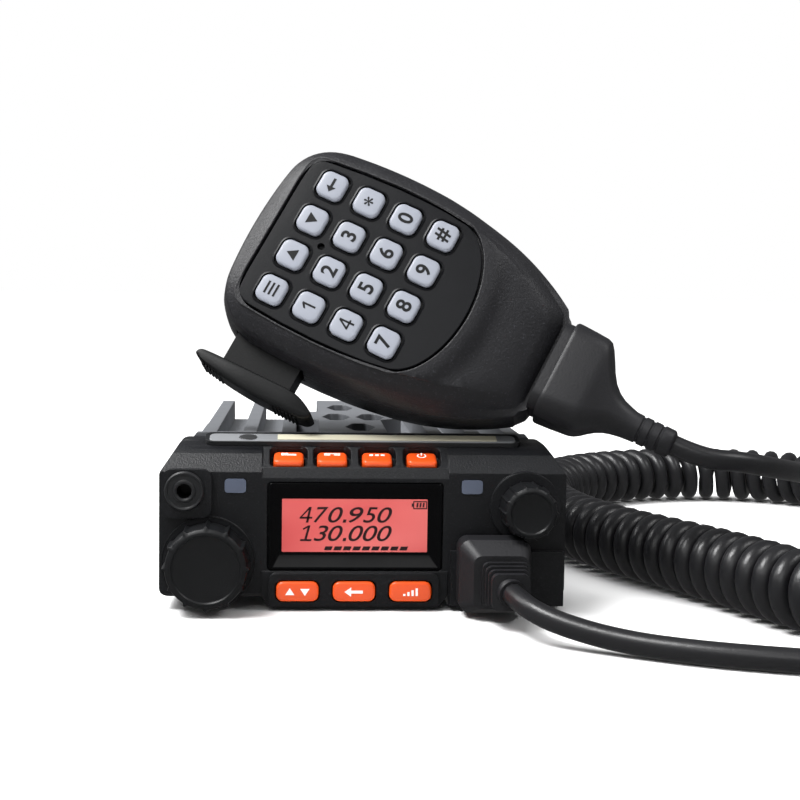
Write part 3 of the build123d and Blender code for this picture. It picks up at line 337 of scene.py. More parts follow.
FLOOR = material("studio_floor", "f8f8f8", 0.85, grain=60, bump=0, mottle=0.004, rough_spread=0.02)
floor.data.materials.append(FLOOR)


def backlight(name, low, high, strength):
    """A lit display face that shades softly between two colours, as edge-lit panels do."""
    made = bpy.data.materials.new(name)
    made.use_nodes = True
    tree = made.node_tree
    shader = tree.nodes["Principled BSDF"]
    shader.inputs["Roughness"].default_value = 0.45
    coords = tree.nodes.new("ShaderNodeTexCoord")
    spread = tree.nodes.new("ShaderNodeMapping")
    spread.inputs["Scale"].default_value = (28, 28, 55)
    spread.inputs["Location"].default_value = (0.1, 0, -0.6)
    tree.links.new(coords.outputs["Object"], spread.inputs["Vector"])
    noise = tree.nodes.new("ShaderNodeTexNoise")
    noise.inputs["Scale"].default_value = 1.2
    noise.inputs["Detail"].default_value = 1.0
    tree.links.new(spread.outputs["Vector"], noise.inputs["Vector"])
    ramp = tree.nodes.new("ShaderNodeValToRGB")
    ramp.color_ramp.elements[0].position, ramp.color_ramp.elements[0].color = 0.3, rgb(low)
    ramp.color_ramp.elements[1].position, ramp.color_ramp.elements[1].color = 0.72, rgb(high)
    tree.links.new(noise.outputs["Fac"], ramp.inputs["Fac"])
    tree.links.new(ramp.outputs["Color"], shader.inputs["Base Color"])
    tree.links.new(ramp.outputs["Color"], shader.inputs["Emission Color"])
    shader.inputs["Emission Strength"].default_value = strength
    return made


LCD = backlight("lcd_backlight", "c24443", "d46460", 0.12)

NODE_MATERIALS = {
    "chassis": CAST, "bottom_cover": CAST, "front_panel": PANEL, "trim_plate": TRIM, "lcd_window": LENS,
    "lcd_module": BLACK, "led_lenses": LED, "button_membrane": JACK, "control_board": BOARD,
    "main_board": BOARD, "speaker": CONE, "fan_frame": BLACK, "fan_rotor": BLACK, "antenna_socket": NICKEL,
    "audio_jacks": JACK, "power_lead_gland": JACK, "body_screws": STEEL, "mic_socket": BLACK,
    "channel_encoder": STEEL, "volume_control": STEEL, "channel_shaft": STEEL, "volume_shaft": STEEL,
    "channel_knob": KNOB, "volume_knob": KNOB, "plug_boot": BOOT, "modular_plug": CLEAR,
    "mic_board": BOARD, "mic_capsule": NICKEL, "hanger_button": STEEL, "mic_screws": STEEL,
}
for node_name, node_material in NODE_MATERIALS.items():
    node = nodes[node_name]
    node.data.materials.clear()
    node.data.materials.append(node_material)
SOFTENED = {"chassis": 0.45, "front_panel": 0.3, "trim_plate": 0.12, "bottom_cover": 0.3, "plug_boot": 0.5}


# ---- cords ------------------------------------------------------------------------------------
MIC_O = Vector((-1.75, -41.8, 83.6))  # middle of the key grid, on the face
# unit vectors along the microphone's own axes, as the CAD model places it
MIC_U = Vector((0.8712175, -0.2940496, -0.3930838))
MIC_V = Vector((0.4720078, 0.2817914, 0.8353456))
MIC_N = Vector((-0.1348653, -0.9133063, 0.3842953))
WIRE_R = 2.6
COIL_R = 6.9  # from the curly part's middle line to the middle of its wire
PITCH = (7.0, 5.7)  # from turn to turn at the tail's end, and at the lead's end
RAMP = 13.0  # length over which the turns open out at each end
TAIL_STEP, COIL_STEP, LEAD_STEP = 1.5, 0.25, 1.6  # between the points that the tubes follow

LEAD_ROUTE = [
    (33.0, -80.8, 8.7), (34.6, -87.4, 7.6), (39.6, -92.8, 5.6), (47.6, -97.8, 3.8), (57.2, -103.2, 2.7),
    (68.4, -109.3, 2.6), (80.0, -113.8, 2.6), (92.5, -117.6, 2.6), (106.0, -122.0, 2.6),
    (119.5, -127.2, 2.6), (132.5, -131.6, 2.6), (145.8, -134.9, 2.6), (159.0, -137.7, 2.6),
    (173.3, -140.2, 2.6), (186.3, -133.8, 2.6), (193.1, -121.0, 3.2), (191.1, -106.7, 5.0),
    (181.0, -96.2, 7.6), (166.77, -93.71, 9.5), (156.0, -99.0, 9.5),
]
CURL_ROUTE = [
    (156.0, -99.0, 9.5), (144.8, -104.5, 9.5), (131.9, -106.1, 9.5), (119.3, -102.7, 9.5),
    (109.2, -94.8, 9.5), (102.6, -84.4, 9.5), (97.4, -71.0, 9.5), (92.4, -58.0, 9.5),
    (86.9, -45.5, 9.5), (80.4, -32.5, 9.5), (73.5, -19.0, 9.5), (67.5, -3.5, 9.5),
    (63.6, 14.0, 9.5), (62.0, 33.0, 9.5), (62.4, 53.0, 9.5), (65.6, 73.0, 9.5), (73.0, 92.0, 9.5),
    (85.0, 108.0, 9.5), (101.0, 119.5, 9.5), (119.0, 126.0, 9.5), (138.0, 127.5, 9.5),
    (155.0, 123.0, 9.5), (168.5, 112.5, 9.5), (176.5, 98.0, 9.5), (178.5, 81.5, 9.5),
    (175.5, 66.0, 9.5), (170.0, 53.5, 9.5),
]


def mic_at(u, v, n):
    """A place on the microphone: u towards the cord, v across the keypad, n out of its face."""
    return MIC_O + MIC_U * u + MIC_V * v + MIC_N * n


NECK_END = mic_at(88.3, -4.2, -12.5)
TAIL_ROUTE = [
    tuple(NECK_END), tuple(NECK_END + MIC_U * 8.0), (91.0, -59.3, 36.9), (101.5, -55.0, 34.7),
    (111.5, -45.5, 32.4), (120.5, -32.0, 29.6), (129.5, -17.0, 25.8), (138.0, -1.5, 20.8),
    (147.0, 14.5, 15.2), (156.5, 29.5, 11.0), (165.16, 42.5, 9.5), (170.0, 53.5, 9.5),
]


def centreline(route):
    """The smooth NURBS line that a route's points control, as points in millimetres."""
    curve = bpy.data.curves.new("route", "CURVE")
    curve.dimensions = "3D"
    spline = curve.splines.new("NURBS")
    spline.points.add(len(route) - 1)
    for point, at in zip(spline.points, route):
        point.co = (*at, 1.0)
    spline.order_u = 3
    spline.use_endpoint_u = True
    spline.resolution_u = 24
    holder = link(bpy.data.objects.new("route", curve))
    bpy.context.view_layer.update()
    mesh = bpy.data.meshes.new_from_object(holder)
    line = [v.co.copy() for v in mesh.vertices]
    bpy.data.objects.remove(holder)
    bpy.data.meshes.remove(mesh)
    return line


def along(line):
    """Running lengths of a line."""
    lengths = [0.0]
    for a, b in zip(line, line[1:]):
        lengths.append(lengths[-1] + (b - a).length)
    return lengths


def sample(line, lengths, at, start=0):
    """The point at a running length, and the index to search from next."""
    k = start
    while k < len(line) - 2 and lengths[k + 1] < at:
        k += 1
    span = lengths[k + 1] - lengths[k]
    t = 0.0 if span < 1e-9 else (at - lengths[k]) / span
    return line[k].lerp(line[k + 1], max(0.0, min(1.0, t))), k


def across(path):
    """Two directions across a path at each of its points, turning with it and never spinning."""
    tangents = []
    for i in range(len(path)):
        a, b = path[max(0, i - 1)], path[min(len(path) - 1, i + 1)]
        tangents.append((b - a).normalized())
    side = tangents[0].cross(Vector((0, 0, 1))).normalized()
    sides = []
    for tangent in tangents:
        side = (side - tangent * side.dot(tangent)).normalized()
        sides.append((side, tangent.cross(side)))
    return sides


def tube(name, path, radius, count):
    """A round tube along a path."""
    rings = [[at + (a * x + b * y) * radius for x, y in circle(1.0, count)]
             for at, (a, b) in zip(path, across(path))]
    return skin(name, rings, 60)


def evenly(line, step):
    """Points along a line, evenly spaced by about step."""
    lengths = along(line)
    count = max(2, round(lengths[-1] / step))
    out, k = [], 0
    for i in range(count + 1):
        at, k = sample(line, lengths, lengths[-1] * i / count, k)
        out.append(at)
    return out


def ease(x):
    """A soft start and stop between 0 and 1."""
    x = max(0.0, min(1.0, x))
    return x * x * (3 - 2 * x)


tail_path = evenly(centreline(TAIL_ROUTE), TAIL_STEP)
tail = tube("cord_tail_wire", tail_path, WIRE_R, 20)
tail.data.materials.append(CORD)
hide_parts("cord_tail")
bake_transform(tail)

# the curly part winds round its own middle line, and runs out straight into the lead
whole = centreline(CURL_ROUTE[::-1] + LEAD_ROUTE[::-1][1:])
whole_lengths = along(whole)
curl_end = min(range(len(whole)), key=lambda i: (whole[i] - Vector(CURL_ROUTE[0])).length)
curl_length = whole_lengths[curl_end]
curly_path = []
turned = 0.0
middle = evenly(whole, COIL_STEP)
step = whole_lengths[-1] / (len(middle) - 1)
for i, (point, (a, b)) in enumerate(zip(middle, across(middle))):
    s = i * step
    reach = ease(s / RAMP) * ease((curl_length - s) / RAMP)
    if 0 < s < curl_length:
        turned += step / (PITCH[0] + (PITCH[1] - PITCH[0]) * s / curl_length) * 2 * math.pi
    spot = point + (a * math.cos(turned) + b * math.sin(turned)) * COIL_R * reach
    if s >= curl_length and (spot - curly_path[-1]).length < LEAD_STEP:
        continue
    curly_path.append(spot)

curly = tube("cord_curly_and_lead", curly_path, WIRE_R, 12)
curly.data.materials.append(CORD)
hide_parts("cord_curl", "cord_lead")
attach(curly, "radio")


# ---- microphone case --------------------------------------------------------------------------
ANGLES = [2 * math.pi * i / 180 for i in range(180)]
MIC_HUB = (8.0, 0.0)  # where the outlines are seen from when their points are spaced


def respace(outline):
    """An outline's points at even angles round the hub."""
    seen = sorted((math.atan2(v - MIC_HUB[1], u - MIC_HUB[0]) % (2 * math.pi), u, v)
                  for u, v in outline)
    out = []
    for angle in ANGLES:
        above = next((i for i, p in enumerate(seen) if p[0] >= angle), 0)
        a, b = seen[above - 1], seen[above]
        du, dv = math.cos(angle), math.sin(angle)
        eu, ev = b[1] - a[1], b[2] - a[2]
        cross = du * ev - dv * eu
        if abs(cross) < 1e-9:
            out.append((b[1], b[2]))
            continue
        reach = ((a[1] - MIC_HUB[0]) * ev - (a[2] - MIC_HUB[1]) * eu) / cross
        out.append((MIC_HUB[0] + du * reach, MIC_HUB[1] + dv * reach))
    return out


def arc(cu, cv, radius, start, end, steps=24):
    """Points round part of a circle, from the +v direction towards +u."""
    return [(cu + radius * math.sin(start + (end - start) * i / steps),
             cv + radius * math.cos(start + (end - start) * i / steps)) for i in range(steps + 1)]


def soften(points, corner, radius, steps=10):
    """The open line with the corner at one index rounded."""
    p = Vector(points[corner])
    before, after = p, p
    i = corner
    while (before - p).length < radius and i > 0:
        i -= 1
        before = Vector(points[i])
    j = corner
    while (after - p).length < radius and j < len(points) - 1:
        j += 1
        after = Vector(points[j])
    bend = [tuple(before.lerp(p, k / steps).lerp(p.lerp(after, k / steps), k / steps))
            for k in range(steps + 1)]
    return points[:i] + bend + points[j + 1:]


CASE_TOP_R = 120.0  # bow of the end away from the cord
CASE_SIDE_R = (140.0, 70.0)  # bows of the upper and lower half of each side
CASE_TOP_U, CASE_WIDE_U, CASE_UPPER_V = 90.2, -2.0, -112.4  # middles of those bows
CASE_TURN_U = 22.0  # where the side's bow tightens
CASE_END_U = 51.5
CASE_CORNER = 9.5
END_CORNER, END_CORNER_LEAST = 2.2, 0.6  # corners at the cord end
TOP_STEPS = 16


def case_outline(inset):
    """The case seen from its face, that much smaller all round: top arc, two bowed sides, cord end."""
    top_r = CASE_TOP_R - inset
    upper_r, lower_r = (radius - inset for radius in CASE_SIDE_R)
    turn = math.asin((CASE_TURN_U - CASE_WIDE_U) / CASE_SIDE_R[0])
    shift = CASE_SIDE_R[0] - CASE_SIDE_R[1]
    lower_u = CASE_WIDE_U + shift * math.sin(turn)
    lower_v = CASE_UPPER_V + shift * math.cos(turn)
    end = math.asin((CASE_END_U - inset - lower_u) / lower_r)
    across_u = CASE_TOP_U - CASE_WIDE_U
    apart = math.hypot(across_u, CASE_UPPER_V)
    corner = math.atan2(across_u, -CASE_UPPER_V) - math.acos(
        (apart**2 + upper_r**2 - top_r**2) / (2 * apart * upper_r))
    side = arc(CASE_WIDE_U, CASE_UPPER_V, upper_r, corner, turn)
    side += arc(lower_u, lower_v, lower_r, turn, end)[1:]
    half = math.asin(side[0][1] / top_r)
    top = [(CASE_TOP_U - top_r * math.cos(half * i / TOP_STEPS), top_r * math.sin(half * i / TOP_STEPS))
           for i in range(TOP_STEPS + 1)]
    line = soften(top + side[1:], TOP_STEPS, max(2.0, CASE_CORNER - inset))
    eu, ev = line[-1]
    close = max(END_CORNER_LEAST, END_CORNER - max(0, inset) * 0.3)
    line = line[:-1] + [(eu - close * (1 - math.sin(a)), ev - close * (1 - math.cos(a)))
                        for a in (math.pi / 2 * i / 6 for i in range(7))] + [(eu, 0.0)]
    line = [p for p in line if p[0] <= eu + 1e-6]
    return respace(line + [(u, -v) for u, v in line[1:-1]][::-1])


CREASE_DROP = (  # (u, drop)
    (12, 0), (18, 0.55), (23.6, 1.8), (28, 2.55), (34, 3.55), (40, 4.55), (46, 5.8), (54, 7.3),
)


def crease_drop(u):
    """How far the edge of the face falls back towards the cord end."""
    if u <= 12:
        return 0.0
    for (a, p), (b, q) in zip(CREASE_DROP, CREASE_DROP[1:]):
        if u <= b:
            return p + (q - p) * (u - a) / (b - a)
    return CREASE_DROP[-1][1]


CROWN_U, CROWN_BOW = 18, 0.0053  # where the middle of the face starts to fall, and how fast it bows
STEP_U, STEP_OVER, STEP_DROP = 22, 9, 0.55  # the soft step down past the keypad's round end


def crown_drop(u):
    """How far the middle of the face falls back towards the cord end."""
    if u <= CROWN_U:
        return 0.0
    return CROWN_BOW * (u - CROWN_U) ** 2 + STEP_DROP * ease((u - STEP_U) / STEP_OVER)


# the side starts to follow the face's fall at FALL_DEPTH below the face, follows all of it FALL_RISE
# higher up, and from EDGE_DEPTH goes over to the fall of the middle
FALL_DEPTH, FALL_RISE, EDGE_DEPTH = 9.75, 6.85, 2.9


def face_n(u, level):
    """Where a level of the front shell stands at a place along the case."""
    weight = max(0.0, min(1.0, (level + FALL_DEPTH) / FALL_RISE))
    share = max(0.0, min(1.0, (level + EDGE_DEPTH) / EDGE_DEPTH))
    return level - weight * (crease_drop(u) * (1 - share) + crown_drop(u) * share)


def ring(outline, level, shaped=True):
    """An outline at a level of the case, following the face's fall where shaped."""
    return [mic_at(u, v, face_n(u, level) if shaped else level) for u, v in outline]


def pad_outline(grow):
    """Edge of the inset keypad panel, that much larger."""
    side = [(-23.9 - grow, v) for v in (0, 5, 10, 14)] + [(-23.6 - grow, 18.0)]
    side += [(-23.6 - grow + (3.6 + grow) * (1 - math.cos(a)), 18.0 + (3.4 + grow) * math.sin(a))
             for a in (math.pi / 2 * i / 8 for i in range(1, 9))]
    side += [(u, v + grow) for u, v in ((-10, 22.2), (0, 22.5), (8, 22.3), (14, 21.9), (18, 21.3))]
    side += [(18 + (12.3 + grow) * math.sin(a), (21.3 + grow) * math.cos(a))
             for a in (math.pi / 2 * i / 18 for i in range(1, 19))]
    return respace(side + [(u, -v) for u, v in side[1:-1]][::-1])


def within(inner, outer):
    """The nearer of two spaced outlines in every direction."""
    def reach(point):
        return (point[0] - MIC_HUB[0]) ** 2 + (point[1] - MIC_HUB[1]) ** 2

    return [a if reach(a) < reach(b) else b for a, b in zip(inner, outer)]


def plateau_ring(grow, inset, level, share):
    """A ring between the keypad and the sloping border; share is how much it falls with the face."""
    outline = within(pad_outline(grow), case_outline(inset))
    return [mic_at(u, v, level - share * crown_drop(u)) for u, v in outline]


def flat_ring(grow, level):
    """The keypad's edge, that much larger, at a level."""
    return [mic_at(u, v, level) for u, v in pad_outline(grow)]


FRONT_SEAM, BACK_SEAM = -9.95, -10.05  # levels of the two shells' meeting faces
PAD_FLOOR = -1.9  # floor of the recess that the keypad lies in
FRONT_SIDE = (  # (inset, level), from the seam up to the border of the face
    (-1.3, FRONT_SEAM), (-1.75, -9.75), (-1.65, -8.5), (-1.2, -6.6), (-0.75, -4.9), (-0.3, -3.6),
    (0.0, -2.95), (0.45, -2.35), (1.1, -1.85), (2.0, -1.25), (3.0, -0.75), (3.8, -0.45),
)
PLATEAU = (  # (growth of the keypad's edge, inset it stays within, level, share of the face's fall)
    (11.0, 4.05, -0.38, 1.0), (8.5, 4.1, -0.36, 1.0), (6.6, 4.15, -0.33, 0.97), (5.6, 4.2, -0.3, 0.8),
    (4.4, 4.25, -0.26, 0.45), (3.2, 4.3, -0.2, 0.12), (1.8, 4.35, -0.1, 0.0),
)
PAD_LIP = ((1.1, 0.02), (0.9, 0.06), (0.75, 0.0), (0.65, -0.3), (0.6, PAD_FLOOR))  # (growth, level)
front_rings = [ring(case_outline(6.0), FRONT_SEAM, False)]
front_rings += [ring(case_outline(inset), level) for inset, level in FRONT_SIDE]
front_rings += [plateau_ring(*sizes) for sizes in PLATEAU]
front_rings += [flat_ring(grow, level) for grow, level in PAD_LIP]
for share in (0.6, 0.2):
    front_rings.append([mic_at(MIC_HUB[0] + (u - MIC_HUB[0]) * share, v * share, PAD_FLOOR)
                        for u, v in pad_outline(0.8)])
front_case = skin("mic_front_case", front_rings, 38)

BACK_SIDE = (  # (inset, level), from the flat back up to the seam
    (12, -27.0), (7.0, -27.0), (5.0, -26.8), (3.2, -26.2), (1.7, -25.2), (0.3, -23.9), (-0.8, -22.2),
    (-1.7, -19.5), (-2.1, -15.5), (-1.9, -11.5), (-1.8, -10.3), (-1.3, BACK_SEAM), (6.0, BACK_SEAM),
)
back_rings = [ring(case_outline(inset), level, False) for inset, level in BACK_SIDE]
back_case = skin("mic_back_case", back_rings, 38)


def mic_block(name, u, v, n, width, depth, radius, crown=0.0, edge=0.0):
    """A square block on the case, its face at n, with rounded corners and a softened front edge."""
    def square(inset, level, corner, share=1.0):
        shape = rounded_rect(width - 2 * inset, width - 2 * inset, corner, 6)
        return [mic_at(u + x * share, v + y * share, level) for x, y in shape]

    rings = [square(0.0, n - depth, radius)]
    if not edge:
        return skin(name, rings + [square(0.0, n, radius)], 40)
    for i in range(5):
        a = math.pi / 2 * i / 4
        inset = edge * (1 - math.cos(a))
        rings.append(square(inset, n - edge * (1 - math.sin(a)), max(0.3, radius - inset)))
    rings += [square(edge, n + crown * (1 - share**2), radius - edge, share) for share in (0.7, 0.35)]
    return skin(name, rings, 40)


KEY_PITCH = 10.5
KEY_ROWS = (("menu", "up", "down", "exit"), ("1", "2", "3", "star"), ("4", "5", "6", "0"),
            ("7", "8", "9", "hash"))
KEY_PLACES = {key: ((i - 1.5) * KEY_PITCH, (j - 1.5) * KEY_PITCH)
              for i, row in enumerate(KEY_ROWS) for j, key in enumerate(row)}
KEY_W, KEY_DEPTH, KEY_CORNER, KEY_EDGE = 7.1, 1.7, 2.0, 0.6
KEY_HOLE, KEY_HOLE_CORNER = 8.0, 2.1
CAPSULE_HOLE_R = 0.95

# the keypad panel, with a hole for every key and one for the microphone capsule
PAD_SIDE = ((0.1, -1.85), (0.1, -0.5), (0.05, -0.28), (-0.1, -0.16), (-0.5, -0.14))  # (growth, level)
panel = skin("mic_keypad_panel", [flat_ring(grow, level) for grow, level in PAD_SIDE], 38)
holes = [mic_block("hole", u, v, 2.0, KEY_HOLE, 6.0, KEY_HOLE_CORNER) for u, v in KEY_PLACES.values()]
capsule_hole = circle(CAPSULE_HOLE_R, 24)
holes.append(skin("hole", [[mic_at(-KEY_PITCH + x, y, n) for x, y in capsule_hole] for n in (-4.0, 2.0)]))
cut(panel, join("holes", holes))
place(panel, "microphone", MIC_PAD)

# a thin raised rim round every key
RIM_OUTER, RIM_INNER = rounded_rect(9.0, 9.0, 2.7, 6), rounded_rect(8.2, 8.2, 2.3, 6)
RIM_LOOPS = ((RIM_OUTER, -0.3), (RIM_OUTER, -0.08), (RIM_INNER, 0.06), (RIM_INNER, -0.3))
rims = [hoop("rim", [[mic_at(key_u + x, key_v + y, n) for x, y in shape] for shape, n in RIM_LOOPS])
        for key_u, key_v in KEY_PLACES.values()]
place(join("mic_key_rims", rims), "microphone", MIC_PAD)

SLOT_U, SLOT_N, SLOT_V = (-21.2, -0.8), (-14.4, -7.6), (-40.0, -23.5)  # opening for the talk key's stem


def bar(name, u_range, n_range, v_range):
    """A plain bar across the side of the case."""
    shape = [(u_range[0], n_range[0]), (u_range[1], n_range[0]), (u_range[1], n_range[1]),
             (u_range[0], n_range[1])]
    return skin(name, [[mic_at(u, v, n) for u, n in shape] for v in v_range])


for half in (front_case, back_case):
    cut(half, bar("slot", SLOT_U, SLOT_N, SLOT_V))
place(front_case, "microphone", MIC, ["mic_front_shell"])
place(back_case, "microphone", MIC, ["mic_back_shell"])


# ---- prints and symbols -----------------------------------------------------------------------
INK_RAISED, INK_SUNK = 0.05, 0.02


def on_plane(origin, x_dir, y_dir):
    """A function that puts flat points on a plane, raised a little by its third number."""
    z_dir = x_dir.cross(y_dir)
    return lambda x, y, z=0.0: origin + x_dir * x + y_dir * y + z_dir * z


def decal(name, shapes, at, body, mat):
    """Thin raised print from flat outlines."""
    points, faces = [], []
    for shape in shapes:
        start, count = len(points), len(shape)
        points += [at(x, y, -INK_SUNK) for x, y in shape] + [at(x, y, INK_RAISED) for x, y in shape]
        faces.append(tuple(range(start + count, start + 2 * count)))
        faces.append(tuple(reversed(range(start, start + count))))
        for i in range(count):
            j = (i + 1) % count
            faces.append((start + i, start + j, start + count + j, start + count + i))
    return place(build(name, points, faces), body, mat)


def glyph(name, text, at, height, body, mat, shear=0.0, width=None, weight=0.012):
    """Digits or a sign in the built-in font, of a given height, centred on a plane."""
    data = bpy.data.curves.new(name, "FONT")
    data.body, data.shear, data.extrude, data.offset = text, shear, 0.02, weight
    data.align_x, data.align_y = "CENTER", "CENTER"
    holder = link(bpy.data.objects.new(name, data))
    bpy.context.view_layer.update()
    mesh = bpy.data.meshes.new_from_object(holder)
    bpy.data.objects.remove(holder)
    xs, ys = [v.co.x for v in mesh.vertices], [v.co.y for v in mesh.vertices]
    scale = height / (max(ys) - min(ys))
    scale_x = scale if width is None else width / (max(xs) - min(xs))
    cx, cy = (max(xs) + min(xs)) / 2, (max(ys) + min(ys)) / 2
    for v in mesh.vertices:
        height_off = INK_RAISED if v.co.z > 0 else -INK_SUNK
        v.co = at((v.co.x - cx) * scale_x, (v.co.y - cy) * scale, height_off) * MM
    mesh.update()
    return place(link(bpy.data.objects.new(name, mesh)), body, mat)


def box_shape(x, y, w, h, skew=0.0):
    """A bar centred on (x, y); skew slants it to the right."""
    return [(x - w / 2 - skew, y - h / 2), (x + w / 2 - skew, y - h / 2), (x + w / 2 + skew, y + h / 2),
            (x - w / 2 + skew, y + h / 2)]


# ---- microphone keys --------------------------------------------------------------------------
KEY_TOP, KEY_CROWN = 0.9, 0.08
DRAWN_SIGNS = {  # signs made of flat outlines; the other keys have a character
    "menu": [box_shape(0, y, 3.4, 0.55) for y in (-1.25, 0, 1.25)],
    "exit": [[(-2.0, 0), (-0.5, 1.3), (-0.5, 0.35), (1.9, 0.35), (1.9, -0.35), (-0.5, -0.35), (-0.5, -1.3)]],
    "up": [[(-1.6, -1.2), (1.6, -1.2), (0, 1.5)]],
    "down": [[(-1.6, 1.2), (1.6, 1.2), (0, -1.5)]],
    "1": [[(-0.95, 0.95), (0.1, 1.8), (0.55, 1.8), (0.55, -1.8), (0.05, -1.8), (0.05, 1.05), (-0.95, 0.35)]],
    "4": [[(-1.3, -0.95), (1.3, -0.95), (1.3, -0.5), (-1.3, -0.5)],
          [(0.3, 2.0), (0.8, 2.0), (0.8, -2.0), (0.3, -2.0)],
          [(-1.3, -0.6), (-0.75, -0.6), (0.8, 2.0), (0.3, 2.0)]],
}
for key, (key_u, key_v) in KEY_PLACES.items():
    body = "mic_key_" + key
    cap = mic_block(body + "_cap", key_u, key_v, KEY_TOP, KEY_W, KEY_DEPTH, KEY_CORNER, KEY_CROWN, KEY_EDGE)
    place(cap, body, PAD_KEY, [body])
    face = on_plane(mic_at(key_u, key_v, KEY_TOP + 0.06), MIC_V, -MIC_U)
    print_name = body + "_print"
    if key in DRAWN_SIGNS:
        decal(print_name, DRAWN_SIGNS[key], face, body, INK)
    elif key == "star":
        glyph(print_name, "*", face, 2.6, body, INK)
    else:
        glyph(print_name, "#" if key == "hash" else key, face, 4.0, body, INK, weight=0.022)


# ---- boot and push-to-talk key ----------------------------------------------------------------
BOOT_N, NECK_V = -12.5, -4.2  # level of the boot's middle, and where its neck stands across
BOOT_RINGS = (  # u, v of the middle, width, thickness, corner radius
    (52.6, 0, 24.4, 13.6, 4.5), (54.75, 0, 24.4, 13.6, 4.5), (54.8, 0, 25.8, 14.9, 5.0),
    (55.2, 0, 26.5, 15.5, 5.4),
    (56.0, 0, 26.6, 15.6, 5.5), (60.0, 0, 26.2, 15.3, 5.5), (63.4, 0, 25.7, 14.9, 5.5),
    (64.6, -0.2, 25.1, 14.5, 5.5), (65.7, -0.8, 23.4, 13.8, 5.5), (67.0, -1.6, 20.4, 12.8, 5.3),
    (68.4, -2.4, 16.6, 11.8, 5.0), (70.0, -3.05, 13.1, 10.8, 4.8), (71.8, -3.5, 10.6, 9.8, 4.6),
    (73.6, -3.8, 9.1, 8.9, 4.3), (75.6, -4.0, 8.1, 8.1, 4.0), (77.5, -4.2, 7.4, 7.4, 3.7),
)
NECK = (  # (u, radius), with three grooves round it
    (79.4, 3.62), (79.6, 3.3), (80.0, 3.3), (80.2, 3.62), (81.9, 3.6), (82.1, 3.28), (82.5, 3.28),
    (82.7, 3.6), (84.4, 3.58), (84.6, 3.26), (85.0, 3.26), (85.2, 3.6), (87.7, 3.56), (88.1, 3.3),
    (88.6, 2.58),
)
boot_sections = list(BOOT_RINGS) + [(u, NECK_V, 2 * radius, 2 * radius, radius) for u, radius in NECK]
boot_rings = [[mic_at(u, v + x, BOOT_N + y) for x, y in rounded_rect(width, thickness, radius, 12)]
              for u, v, width, thickness, radius in boot_sections]
place(skin("mic_boot_moulding", boot_rings, 50), "microphone", BOOT, ["mic_boot"])

PADDLE = (  # (u, v) round the talk key's paddle
    (-26.6, -35.2), (-24.0, -34.9), (-18.0, -34.8), (-10.0, -34.8), (-2.5, -34.8), (1.0, -35.2),
    (4.0, -36.4), (6.4, -37.9), (6.5, -38.7), (6.0, -39.5), (4.6, -40.1), (1.0, -40.3), (-5.0, -40.35),
    (-10.0, -40.2), (-16.0, -39.7), (-21.0, -38.9), (-25.4, -37.8), (-27.2, -37.0), (-27.5, -36.2),
)
PADDLE_MIDDLE = (-10.5, -37.5)
PADDLE_SIDE = (  # (level, inset)
    (-15.5, 0.9), (-15.3, 0.35), (-14.8, 0.05), (-14.0, 0.0), (-8.5, 0.0), (-7.7, 0.05), (-7.2, 0.35),
    (-7.0, 0.9),
)
STEM_U, STEM_N, STEM_V = (-20.5, -1.5), (-14.0, -8.0), (-35.6, -26.5)


def smooth_closed(points, steps=4):
    """A closed Catmull-Rom line through points."""
    out, count = [], len(points)
    for i in range(count):
        p0, p1, p2, p3 = (Vector(points[(i + k - 1) % count]) for k in range(4))
        for j in range(steps):
            t = j / steps
            out.append(tuple(0.5 * (2 * p1 + (p2 - p0) * t + (2 * p0 - 5 * p1 + 4 * p2 - p3) * t * t
                                    + (3 * p1 - p0 - 3 * p2 + p3) * t**3)))
    return out


paddle_rings = []
for level, inset in PADDLE_SIDE:
    ring_points = []
    for u, v in smooth_closed(PADDLE):
        # mostly across the paddle, which is much longer than it is thick
        away = Vector((u - PADDLE_MIDDLE[0], (v - PADDLE_MIDDLE[1]) * 4)).normalized() * inset
        ring_points.append(mic_at(u - away.x, v - away.y, level))
    paddle_rings.append(ring_points)
talk_parts = [skin("paddle", paddle_rings, 50), bar("stem", STEM_U, STEM_N, STEM_V)]
RIB_STEP = 1.05
ribs = [(-24.6 + RIB_STEP * k, -38.25 - 0.17 * k) for k in range(6)]
ribs += [(-3.4 + RIB_STEP * k, -40.25) for k in range(7)]
rib = rounded_rect(0.5, 0.9, 0.2, 3)
for u, v in ribs:
    talk_parts.append(skin("rib", [[mic_at(u + x, v + y, n) for x, y in rib] for n in (-14.4, -8.1)]))
place(join("talk_key", talk_parts), "push_to_talk", PTT, ["ptt_button"])


# ---- display ----------------------------------------------------------------------------------
LCD_X, LCD_Y, LCD_Z = (-19.75, 15.35), -57.28, (13.9, 26.8)
lcd_w, lcd_h = LCD_X[1] - LCD_X[0], LCD_Z[1] - LCD_Z[0]
RIGHT, UP = Vector((1, 0, 0)), Vector((0, 0, 1))
lcd_mid = Vector((sum(LCD_X) / 2, LCD_Y, sum(LCD_Z) / 2))
lcd_face = on_plane(lcd_mid, RIGHT, UP)


def window_ring(x0, x1, z0, z1, y, radius):
    mid = Vector(((x0 + x1) / 2, y, (z0 + z1) / 2))
    return [mid + RIGHT * x + UP * z for x, z in rounded_rect(x1 - x0, z1 - z0, radius, 5)]


